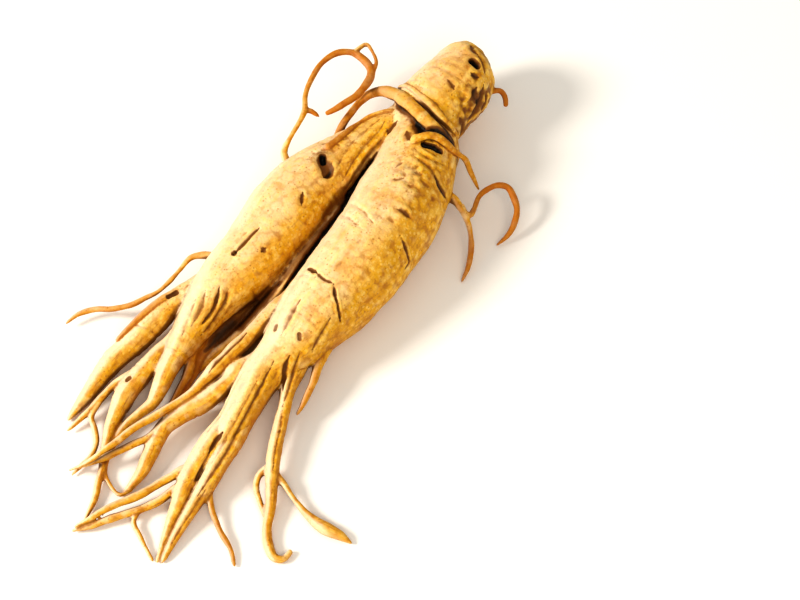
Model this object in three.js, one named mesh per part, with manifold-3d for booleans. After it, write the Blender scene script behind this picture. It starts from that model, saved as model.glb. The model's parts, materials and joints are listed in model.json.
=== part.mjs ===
// A fresh ginseng root, dug, washed and laid down on its belly. It grew as one piece, so it is one solid:
// a short crown with the scar of the stem, a collar ring at the neck, two stout legs and the roots that
// taper and curl away from them. Millimetres, +Z up. The crown points to +Y and the tails to -Y, and the
// origin lies on the surface under the middle of the root.
import * as THREE from 'three';
import { mergeVertices } from 'three/addons/utils/BufferGeometryUtils.js';
import Module from 'manifold-3d';

const wasm = await Module();
wasm.setup();

// Driving dimensions
const restHeight = 0;                // the legs' bellies are pressed flat at this height
const surfaceSpan = 400;             // the flat surface under the root reaches past it on every side
const roundEnd = 0.8;                // a round end is this deep, in radii
const bluntEnd = 0.3;                // the crown's scarred end is nearly flat
const pointedEnd = 2.2;              // a root's tip runs out this far, in radii
const buriedEnd = 0.5;               // the end that is sunk in the parent root, in radii
const shoulderWidth = 0.75;          // half way round an end the radius is this much of the full one
const shoulderDepth = 0.6;           // and this much of the end's depth is used up
const skinColour = 0xdfb572;
const skinRoughness = 0.6;

// How finely a root is built: sides round it, and the length of one step along it
const stout = { sides: 20, stepLength: 6 };
const middling = { sides: 10, stepLength: 4.5 };
const slim = { sides: 7, stepLength: 3.8 };
const thread = { sides: 6, stepLength: 2.6 };

// Every root is a route of hand-picked points: x, y, height of its middle, and its radius there.
const routes = {
  crown: {
    build: stout, end: bluntEnd, points: [
      [6.5, 58, 13.5, 7.5], [5, 66, 14.5, 9.8], [6, 73, 15.5, 12], [7, 79, 16, 12],
      [8.5, 85, 16.5, 11.9], [9, 89, 16.8, 11], [9.2, 92.3, 17, 10.2], [9.5, 95, 17, 8.9],
      [10, 96.5, 17, 7.4],
    ],
  },
  rightLeg: {
    build: stout, end: pointedEnd, points: [
      [7, 71, 15, 8.5], [10, 61, 14.3, 11.5], [12.5, 49.5, 14, 13.2], [14.3, 36.5, 14, 14.4],
      [14.5, 21.5, 13.5, 14], [13.5, 8.5, 13, 13.5], [11, -8, 12, 11.5], [9.5, -20.5, 10.5, 8.5],
      [7.5, -29.5, 9.5, 6.5], [8, -42, 8.5, 5.5], [8, -51, 7.5, 4.5],
    ],
  },
  leftLeg: {
    build: stout, end: pointedEnd, points: [
      [4, 69.5, 15, 8.5], [-0.5, 63.5, 13.5, 7.5], [-5, 54, 13, 8], [-10, 41.5, 12, 10.5],
      [-14.5, 28.5, 11.5, 12], [-15.5, 15.5, 11.5, 12], [-16, 3.5, 11, 11], [-18, -7.5, 10.5, 10],
      [-19.5, -17, 9.5, 8], [-20, -26, 8.5, 6], [-20, -34, 7.5, 4.3],
    ],
  },

  // Tails of the right leg
  innerTail: {
    build: middling, end: pointedEnd, points: [
      [8, -42, 8.5, 3], [6.3, -50.5, 7.5, 3.6], [5, -60, 6.5, 3.2], [5, -68.5, 5, 2.8],
      [6.5, -76, 4, 2.2], [8, -84.5, 2.5, 1.4], [10, -93, 1, 0.7],
    ],
  },
  outerTail: {
    build: middling, end: pointedEnd, points: [
      [9, -40, 8.3, 3.4], [10, -48, 7.5, 3.6], [10.3, -56.5, 6.2, 3.4], [10.8, -66, 5, 2.9],
      [11, -74.5, 4, 2.3], [11, -83.5, 2.5, 1.6], [11.5, -92, 1.1, 0.9],
    ],
  },

  // The root at the front of the right leg, with its loop, its wormy branch and its slip
  frontRoot: {
    build: middling, end: roundEnd, points: [
      [13.5, -7, 11.5, 6.5], [13.7, -17.5, 10.5, 4.6], [15, -24.5, 9.6, 3.3], [16.2, -30.5, 8.6, 2.5],
      [18, -35, 8, 2.1], [19.2, -39.5, 7, 2.2], [21.3, -45.3, 6, 2.2], [24.2, -52.5, 5, 2.2],
      [27.7, -59, 4, 1.9], [30.5, -64.5, 3, 1.5], [32.5, -69.5, 2.3, 1.4], [35.5, -73.7, 1.8, 1.6],
      [39, -76.2, 1.5, 1.3], [41.5, -75, 1.2, 1], [42, -72.2, 1.2, 0.9],
    ],
  },
  frontLoop: {
    build: thread, end: roundEnd, points: [
      [24.5, -51, 5, 1.3], [22.2, -56.5, 4.2, 1], [23.2, -60.4, 3.4, 0.9], [26.5, -63.8, 2.6, 0.9],
      [31.5, -67.5, 2.3, 1],
    ],
  },
  frontWorm: {
    build: slim, end: pointedEnd, points: [
      [26, -54.5, 4.6, 1.4], [29.5, -55.6, 4, 1.1], [34.2, -57.7, 3.2, 0.9], [39, -59.7, 2.6, 1.1],
      [43.2, -60.8, 2.4, 1.7], [47.8, -61.1, 2.3, 2], [52, -60.9, 1.8, 1.6], [55, -61, 1.2, 0.7],
    ],
  },
  frontSlip: {
    build: thread, end: pointedEnd, points: [
      [18, -10.5, 10, 3], [19.9, -19, 9.4, 1.7], [21.4, -24.8, 8.4, 1.2], [21.9, -30.4, 7.2, 1],
      [22, -34.5, 6.2, 0.6],
    ],
  },

  // A long root that leaves the right leg and lies over the tails of the left one
  crossRoot: {
    build: slim, end: pointedEnd, points: [
      [3, -2, 12, 4], [-0.5, -11.7, 11.8, 3], [-2, -19.5, 11.4, 2.7], [-3.8, -28, 11, 2.7],
      [-5.5, -35, 10.5, 2.4], [-6.8, -41.3, 10, 1.8], [-8, -46.5, 9.6, 1.4], [-10.8, -53, 9.2, 1.2],
      [-13.8, -59.3, 8.9, 1.2], [-17, -65.4, 8.6, 1.1], [-18.5, -70, 8.3, 1], [-20.3, -74.6, 8, 0.9],
      [-22, -78, 6.8, 0.8], [-24.6, -81, 5, 0.6], [-27, -83, 3.4, 0.4],
    ],
  },
  underRoot: {
    build: slim, end: pointedEnd, points: [
      [5, -26, 9.2, 4], [0.5, -32, 8.8, 3.3], [-1, -39, 8.2, 3], [-4, -46.5, 7.2, 3],
      [-7.8, -52.3, 6.2, 3], [-10, -57.6, 5.2, 2.7], [-10, -63.2, 4.2, 2.5], [-9.3, -69, 3.2, 2.1],
      [-8.7, -74.8, 2.3, 1.5], [-9.8, -80, 1.4, 0.7],
    ],
  },
  underSide: {
    build: thread, end: pointedEnd, points: [
      [-9.5, -55, 5.6, 1.8], [-12, -62.8, 5.5, 1.3], [-15.3, -68.4, 5.4, 1.2], [-18.2, -72.6, 5.2, 1.2],
      [-20.5, -76, 4.8, 1], [-22.8, -78.7, 4, 0.7], [-25.5, -81.2, 2.8, 0.4],
    ],
  },

  // Roots of the left leg, from the outside in
  farRoot: {
    build: thread, end: pointedEnd, points: [
      [-22, -2.5, 9.8, 2.4], [-26, -3, 9.7, 1.6], [-30, -3.8, 9.5, 1.2], [-33, -6.4, 9.2, 0.9],
      [-34.2, -11.6, 8.6, 0.8], [-34.8, -16.4, 8, 0.8], [-36.2, -21, 7.4, 0.8], [-38.4, -24.6, 6.8, 0.9],
      [-41.5, -28.8, 6.2, 0.9], [-46, -32.6, 5.4, 0.9], [-51, -35, 4.6, 0.9], [-54.3, -38.4, 3.8, 0.8],
      [-56, -42, 2.8, 0.5],
    ],
  },
  stoutRoot: {
    build: middling, end: pointedEnd, points: [
      [-20.5, -9, 9.8, 5], [-25, -14, 9.4, 4.2], [-27.3, -18.5, 9, 3.7], [-29.4, -23.6, 8.4, 3.5],
      [-31, -30.5, 7.6, 3.8], [-32.4, -37, 6.7, 3.9], [-34.1, -42.7, 5.8, 3.6], [-35.9, -49.4, 4.8, 3.3],
      [-36.3, -56, 3.8, 2.7], [-36.8, -62.4, 2.7, 1.9], [-37.6, -67.6, 1.3, 0.8],
    ],
  },
  stoutRider: {
    build: thread, end: pointedEnd, points: [
      [-25.5, -13.5, 11.8, 2.2], [-29, -18.3, 11.4, 1.5], [-31.7, -23.6, 11, 1.4], [-33.8, -29, 10.6, 1.4],
      [-35.4, -34.8, 10, 1.2], [-37, -41.5, 9, 0.7],
    ],
  },
  fanRoot: {
    build: slim, end: pointedEnd, points: [
      [-20.5, -26, 8, 4], [-22.5, -32.5, 7.2, 3], [-24.3, -38.4, 6.6, 2.9], [-25.5, -46, 5.6, 3.3],
      [-26.2, -53.2, 4.7, 3.4], [-25.5, -60.3, 3.8, 2.8], [-23.6, -67.6, 3, 1.8], [-21.4, -73.6, 2.5, 1.3],
      [-18.8, -79.4, 2.1, 1.2], [-16.8, -84.5, 1.8, 1.2], [-15.5, -89.5, 1.5, 1], [-15, -93, 1.1, 0.6],
    ],
  },
  fanLeft: {
    build: thread, end: pointedEnd, points: [
      [-26, -45, 5.8, 2.2], [-29.3, -50.5, 5.3, 1.6], [-31, -54, 4.9, 1.4], [-31.8, -58.3, 4.4, 1.3],
      [-32.6, -63, 3.8, 1.2], [-34, -67.5, 3, 0.9], [-35.3, -71.6, 2, 0.5],
    ],
  },
  fanCurl: {
    build: thread, end: pointedEnd, points: [
      [-32, -60, 4.2, 1.1], [-31.1, -65.4, 3.5, 0.9], [-28.2, -68.3, 2.9, 0.9], [-25.7, -71.6, 2.3, 0.9],
      [-24.6, -75.7, 1.9, 0.9], [-25.6, -79.5, 1.6, 0.7], [-26.5, -83, 1.2, 0.4],
    ],
  },
  leftTail: {
    build: slim, end: pointedEnd, points: [
      [-20, -29, 8, 4.5], [-19.5, -41, 6.5, 3.3], [-18.2, -48, 5.4, 2.7], [-17.8, -53, 4.6, 2],
      [-19.4, -57.7, 4, 1.5], [-20.9, -62.5, 3.4, 1.3], [-21, -69, 2.6, 1.1], [-20, -74.5, 2.2, 0.9],
      [-17.9, -78.4, 1.9, 0.7], [-14, -81, 1.6, 0.7], [-10.5, -81.8, 1.5, 0.7], [-8.6, -78.8, 1.5, 0.6],
    ],
  },
  shadeRoot: {
    build: thread, end: pointedEnd, points: [
      [-17.5, -17, 7, 3], [-16.6, -27.2, 5.6, 1.8], [-16, -33.2, 4.8, 1.5], [-14.1, -40.1, 3.8, 1.4],
      [-13.7, -46.5, 3, 1], [-13.8, -51.5, 2.2, 0.6],
    ],
  },

  // Thin roots of the right tails
  lowRoot: {
    build: thread, end: pointedEnd, points: [
      [5.5, -63, 5.6, 2], [2.4, -67.2, 5.4, 1.5], [0.6, -70.3, 5.2, 1.4], [-2, -75.4, 5, 1.3],
      [-5.2, -81.2, 4.8, 1.3], [-8.8, -86.2, 4.6, 1.2], [-11.4, -90.2, 4.2, 1.1], [-13.4, -93.6, 3.6, 0.9],
      [-15.6, -96.8, 2.8, 0.5],
    ],
  },
  lowerRoot: {
    build: thread, end: pointedEnd, points: [
      [5.8, -68.5, 4.6, 2], [3, -73.4, 4, 1.4], [0.8, -78.9, 3.4, 1.3], [-3.4, -84.3, 2.8, 1.2],
      [-8.4, -89.9, 2.3, 1.2], [-12.7, -95, 1.8, 1], [-15.8, -98, 1.3, 0.5],
    ],
  },
  lowerSide: {
    build: thread, end: pointedEnd, points: [
      [-2.8, -83.4, 2.8, 1], [-1.9, -87.2, 2.3, 0.9], [1.5, -89.8, 1.9, 0.8], [5.6, -92.4, 1.5, 0.7],
      [8.5, -94, 1.1, 0.6],
    ],
  },
  shortRoot: {
    build: thread, end: pointedEnd, points: [
      [10, -66, 4.6, 1.6], [15, -72, 3.4, 1], [19.6, -76.1, 2.6, 0.9], [24.4, -78.8, 1.9, 0.9],
      [27.3, -80.8, 1.4, 0.8], [30, -83.5, 1, 0.6],
    ],
  },

  // The collar ring runs round the neck and leaves it to join the left leg's shoulder
  collar: {
    build: slim, end: roundEnd, points: [
      [5, 66, 4, 1.6], [12, 65.5, 4.8, 2], [17, 65, 8.5, 2.1], [19.2, 64, 13, 2.2],
      [19.2, 63, 17.5, 2.2], [17.8, 62.6, 21.5, 2.3], [15.2, 62.6, 24.2, 2.5], [11.6, 63, 25.7, 2.5],
      [6.5, 64.7, 26, 2.4], [0.7, 67.1, 24.6, 2.4], [-5.6, 70, 21.5, 2.2], [-10.5, 70.8, 18.6, 1.7],
      [-13.8, 68.9, 17, 1.4], [-15.1, 65.5, 16.4, 1.2], [-15.6, 60.7, 16, 1.2], [-15.8, 54.9, 15.4, 1.2],
      [-15.2, 50.5, 14.6, 1.3], [-13.5, 45, 13, 2],
    ],
  },
  archRoot: {
    build: thread, end: pointedEnd, points: [
      [9, 53.5, 24, 2], [10.3, 54.9, 26.4, 1.4], [11.8, 56.3, 27.6, 1.3], [13.6, 58, 28, 1.3],
      [15.6, 59.1, 27.4, 1.3], [18.4, 59.6, 25.2, 1.2], [20.5, 60.4, 22, 1.1], [22.6, 61.6, 19, 1],
      [24.7, 62.3, 16.7, 0.9], [27.3, 60.9, 14, 0.9], [29.3, 60.1, 11.6, 0.8], [30.9, 59.1, 9.6, 0.5],
    ],
  },

  // Curling rootlets of the shoulders and the crown
  highLoop: {
    build: thread, end: roundEnd, points: [
      [-17, 35, 10.5, 2.2], [-22.7, 35.7, 11.5, 1.6], [-27, 38.1, 13, 1.1], [-27.8, 43.1, 15, 0.9],
      [-27.7, 48.5, 17, 0.9], [-28, 52.8, 18, 1], [-30.4, 56.8, 19, 0.9], [-31.6, 62.4, 20, 0.9],
      [-31.8, 69.5, 20.5, 1], [-29.2, 75.1, 21, 1], [-25.1, 77.5, 21, 1.1], [-20.6, 76.9, 21, 1.3],
      [-16.4, 74, 21, 1.4], [-15, 69.1, 21.4, 1.4], [-15.3, 64.1, 21.8, 1.4], [-16.8, 59.9, 21.6, 1.3],
      [-18.6, 56.7, 21, 1.1], [-20.7, 54.1, 20, 0.8],
    ],
  },
  highLoopSide: {
    build: thread, end: roundEnd, points: [
      [-25, 77.3, 21, 0.9], [-23.1, 82.3, 21.5, 0.7], [-20.2, 81.2, 21.5, 0.6], [-16.8, 77.8, 21.5, 0.6],
      [-15.4, 74, 21.3, 0.7],
    ],
  },
  highLoopStub: {
    build: thread, end: pointedEnd, points: [
      [-28, 53, 18, 0.9], [-26.4, 53.8, 17.5, 0.9], [-24.6, 53.8, 17, 0.8],
    ],
  },
  crownHook: {
    build: thread, end: roundEnd, points: [
      [13, 86, 15.5, 2.2], [18.3, 90.8, 14.6, 1.1], [20.2, 92.7, 13.6, 1], [22.3, 92.2, 12.4, 1],
      [23.7, 90.5, 11, 0.9],
    ],
  },
  rightLoop: {
    build: thread, end: pointedEnd, points: [
      [19, 51.5, 11.5, 2.6], [27.8, 49.9, 12.5, 1.4], [31.4, 48.5, 11.5, 1], [33.7, 48.8, 10.6, 0.9],
      [33.6, 51.7, 10.6, 0.9], [33.1, 55.8, 11, 0.9], [33.9, 59.5, 11.2, 1], [36, 62.6, 11, 1.1],
      [38.8, 64.1, 10, 1.1], [41.8, 62.6, 8.6, 1.1], [44.6, 59.7, 6.6, 1.1], [45.7, 55.9, 4.6, 1],
      [45.3, 52.3, 2.8, 0.8], [43.9, 49.2, 1.3, 0.5],
    ],
  },
  rightDrop: {
    build: thread, end: pointedEnd, points: [
      [30, 49.5, 12, 1.3], [32.6, 47.8, 10.6, 1], [35.7, 45.5, 8, 0.9], [38.7, 41, 5, 0.9],
      [40.3, 36.3, 2.4, 0.8], [40.6, 32.5, 1.1, 0.5],
    ],
  },
};

// A three.js geometry as a solid: merged points, and no triangle that a pole has squeezed to nothing
function solidOf(geometry) {
  const bare = geometry.clone();
  bare.deleteAttribute('normal');
  bare.deleteAttribute('uv');
  const merged = mergeVertices(bare);
  const corners = merged.index.array;
  const kept = [];
  for (let i = 0; i < corners.length; i += 3) {
    const [a, b, c] = corners.slice(i, i + 3);
    if (a !== b && b !== c && c !== a) {
      kept.push(a, b, c);
    }
  }
  return new wasm.Manifold(new wasm.Mesh({
    numProp: 3,
    vertProperties: new Float32Array(merged.attributes.position.array),
    triVerts: new Uint32Array(kept),
  }));
}

// One root: a lathe turned to the route's radii, then bent along the route
function rootSolid({ build, end, points }) {
  const middle = new THREE.CatmullRomCurve3(points.map(([x, y, z]) => new THREE.Vector3(x, y, z)));
  const radii = points.map((point) => new THREE.Vector3(point[3], 0, 0));
  const girth = new THREE.CatmullRomCurve3(radii, false, 'catmullrom');
  const length = middle.getLength();
  const steps = Math.ceil(length / build.stepLength);
  const frames = middle.computeFrenetFrames(steps);

  const startRadius = points[0][3];
  const endRadius = points[points.length - 1][3];
  const profile = [new THREE.Vector2(0, -startRadius * buriedEnd)];
  for (let step = 0; step <= steps; step += 1) {
    const along = step / steps;
    profile.push(new THREE.Vector2(girth.getPoint(middle.getUtoTmapping(along)).x, along * length));
  }
  profile.push(new THREE.Vector2(endRadius * shoulderWidth, length + endRadius * end * shoulderDepth));
  profile.push(new THREE.Vector2(0, length + endRadius * end));

  const geometry = new THREE.LatheGeometry(profile, build.sides);
  const position = geometry.attributes.position;
  for (let i = 0; i < position.count; i += 1) {
    const height = position.getY(i);
    const onRoute = THREE.MathUtils.clamp(height, 0, length);
    const step = Math.round(onRoute / length * steps);
    const place = middle.getPointAt(onRoute / length)
      .addScaledVector(frames.tangents[step], height - onRoute)
      .addScaledVector(frames.binormals[step], position.getX(i))
      .addScaledVector(frames.normals[step], position.getZ(i));
    position.setXYZ(i, place.x, place.y, place.z);
  }
  return solidOf(geometry);
}

// What would lie below the surface is pressed flat
function pressedFlat(solid) {
  const depth = 20;
  const block = new THREE.BoxGeometry(surfaceSpan, surfaceSpan, depth);
  block.translate(0, 0, restHeight - depth / 2);
  return solid.subtract(solidOf(block));
}

function wholeRoot() {
  let solid = null;
  for (const route of Object.values(routes)) {
    const root = rootSolid(route);
    solid = solid === null ? root : solid.add(root);
  }
  return pressedFlat(solid);
}

function meshOf(name, solid, material) {
  const { vertProperties, triVerts } = solid.getMesh();
  const geometry = new THREE.BufferGeometry();
  geometry.setAttribute('position', new THREE.BufferAttribute(vertProperties, 3));
  geometry.setIndex(new THREE.BufferAttribute(triVerts, 1));
  geometry.computeVertexNormals();
  const mesh = new THREE.Mesh(geometry, material);
  mesh.name = name;
  return mesh;
}

const skin = new THREE.MeshStandardMaterial({
  name: 'root_skin', color: skinColour, roughness: skinRoughness, metalness: 0,
});

const group = new THREE.Group();
group.add(meshOf('ginseng_root', wholeRoot(), skin));

export default group;
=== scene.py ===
import json
import math

import bpy
import numpy as np
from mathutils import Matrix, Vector

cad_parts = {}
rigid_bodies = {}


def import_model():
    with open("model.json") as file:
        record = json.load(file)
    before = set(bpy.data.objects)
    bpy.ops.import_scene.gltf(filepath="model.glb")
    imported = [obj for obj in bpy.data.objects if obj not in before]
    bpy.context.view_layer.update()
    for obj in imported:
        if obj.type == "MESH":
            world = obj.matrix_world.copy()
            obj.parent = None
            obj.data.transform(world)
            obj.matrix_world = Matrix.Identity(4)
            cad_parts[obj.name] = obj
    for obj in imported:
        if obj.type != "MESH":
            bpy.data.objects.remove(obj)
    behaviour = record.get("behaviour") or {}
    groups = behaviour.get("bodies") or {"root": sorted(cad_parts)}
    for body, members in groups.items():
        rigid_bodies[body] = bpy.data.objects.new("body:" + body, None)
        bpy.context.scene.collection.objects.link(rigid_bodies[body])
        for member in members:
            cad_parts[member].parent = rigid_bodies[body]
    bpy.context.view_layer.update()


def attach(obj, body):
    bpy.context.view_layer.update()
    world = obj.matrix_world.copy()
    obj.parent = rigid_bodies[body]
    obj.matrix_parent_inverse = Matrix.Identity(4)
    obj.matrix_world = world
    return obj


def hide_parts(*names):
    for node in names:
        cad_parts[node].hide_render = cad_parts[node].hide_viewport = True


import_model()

mm = 0.001


# Small tools

# An sRGB hex value as the linear colour that shaders take
def linearColour(hexValue):
    parts = [int(hexValue[i:i + 2], 16) / 255 for i in (0, 2, 4)]
    return [p / 12.92 if p <= 0.04045 else ((p + 0.055) / 1.055) ** 2.4 for p in parts] + [1.0]


# Adds a node with its settings, and links or sets its inputs
def addNode(tree, kind, settings=None, inputs=None):
    node = tree.nodes.new(kind)
    for key, value in (settings or {}).items():
        setattr(node, key, value)
    for key, value in (inputs or {}).items():
        if isinstance(value, bpy.types.NodeSocket):
            tree.links.new(value, node.inputs[key])
        else:
            node.inputs[key].default_value = value
    return node


def deselectAll():
    bpy.ops.object.select_all(action="DESELECT")


# Adds a modifier with its settings and applies it
def modify(root, kind, settings):
    modifier = root.modifiers.new(kind.lower(), kind)
    for key, value in settings.items():
        setattr(modifier, key, value)
    bpy.context.view_layer.objects.active = root
    bpy.ops.object.modifier_apply(modifier=modifier.name)


# Soft random bumps between -1 and 1, with one bump about every size, the same on every run
def softNoise(places, size, seed):
    cells = 48
    lattice = np.random.default_rng(seed).uniform(-1, 1, (cells, cells, cells))
    scaled = places / size
    corner = np.floor(scaled).astype(int)
    part = scaled - corner
    part = part * part * (3 - 2 * part)
    total = np.zeros(len(places))
    for dx in (0, 1):
        for dy in (0, 1):
            for dz in (0, 1):
                value = lattice[(corner[:, 0] + dx) % cells, (corner[:, 1] + dy) % cells, (corner[:, 2] + dz) % cells]
                weightX = part[:, 0] if dx else 1 - part[:, 0]
                weightY = part[:, 1] if dy else 1 - part[:, 1]
                weightZ = part[:, 2] if dz else 1 - part[:, 2]
                total += value * weightX * weightY * weightZ
    return total


# One seed for every pattern of bumps, so that each run gives the same root
noiseSeeds = {
    "lumps": 101, "knobs": 102, "pebbles": 103, "finePebbles": 104, "ribs": 105, "rings": 106, "belly": 108,
    "markEdges": 201, "holeEdges": 202, "roughPlaces": 203, "markFray": 204,
}


# 0 below low, 1 above high and a smooth rise between them
def softStep(value, low, high):
    t = np.clip((value - low) / (high - low), 0, 1)
    return t * t * (3 - 2 * t)


# Goes from least to 1 as the share grows
def fromLeast(least, share):
    return least + (1 - least) * share


# Camera and studio

# The camera looks down on the root from the tails' side, as the photograph does. Lengths are in metres.
cameraView = {
    "azimuth": 30, "elevation": 60, "distance": 0.6734, "lens": 100, "sensorWidth": 36, "nearest": 0.01,
    "target": (0.030, 0.012, 0.010),
}


def pointCamera():
    azimuth, elevation = math.radians(cameraView["azimuth"]), math.radians(cameraView["elevation"])
    level = math.cos(elevation)
    back = Vector((math.sin(azimuth) * level, -math.cos(azimuth) * level, math.sin(elevation)))
    bpy.ops.object.camera_add(location=Vector(cameraView["target"]) + back * cameraView["distance"])
    camera = bpy.context.object
    camera.name = "viewingCamera"
    camera.rotation_euler = (-back).to_track_quat("-Z", "Y").to_euler()
    camera.data.lens = cameraView["lens"]
    camera.data.sensor_width = cameraView["sensorWidth"]
    camera.data.clip_start = cameraView["nearest"]
    bpy.context.scene.camera = camera


# One big soft lamp on the left, a weak one on the right and a pale room round both. Lengths are in metres.
studio = {
    "floorColour": "FBFAF8", "floorRoughness": 0.7, "floorSize": 24,
    "roomColour": "FFFDF8", "roomStrength": 0.4,
    "keyPlace": (-0.75, -0.62, 0.72), "keySize": 0.34, "keyPower": 9.7, "keyColour": "FFF8EC",
    "fillPlace": (0.58, -0.55, 1.0), "fillSize": 0.9, "fillPower": 4.3, "fillColour": "FFF1DC",
    "look": "High Contrast", "exposure": 0.0,
}


def softLamp(name, place, size, power, colour):
    bpy.ops.object.light_add(type="AREA", location=place)
    lamp = bpy.context.object
    lamp.name = name
    lamp.data.shape = "DISK"
    lamp.data.size = size
    lamp.data.energy = power
    lamp.data.color = linearColour(colour)[:3]
    lamp.rotation_euler = (Vector(cameraView["target"]) - lamp.location).to_track_quat("-Z", "Y").to_euler()
    lamp.visible_camera = False


def setStudio():
    bpy.ops.mesh.primitive_plane_add(size=studio["floorSize"])
    floor = bpy.context.object
    floor.name = "paleFloor"
    paint = bpy.data.materials.new("paleFloorPaint")
    paint.use_nodes = True
    shader = paint.node_tree.nodes["Principled BSDF"]
    shader.inputs["Base Color"].default_value = linearColour(studio["floorColour"])
    shader.inputs["Roughness"].default_value = studio["floorRoughness"]
    floor.data.materials.append(paint)

    world = bpy.data.worlds.new("paleRoom")
    world.use_nodes = True
    sky = world.node_tree.nodes["Background"]
    sky.inputs["Color"].default_value = linearColour(studio["roomColour"])
    sky.inputs["Strength"].default_value = studio["roomStrength"]
    bpy.context.scene.world = world

    softLamp("keyLamp", studio["keyPlace"], studio["keySize"], studio["keyPower"], studio["keyColour"])
    softLamp("fillLamp", studio["fillPlace"], studio["fillSize"], studio["fillPower"], studio["fillColour"])
    bpy.context.scene.view_settings.view_transform = "Standard"
    bpy.context.scene.view_settings.look = studio["look"]
    bpy.context.scene.view_settings.exposure = studio["exposure"]


# The root's shape

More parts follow.
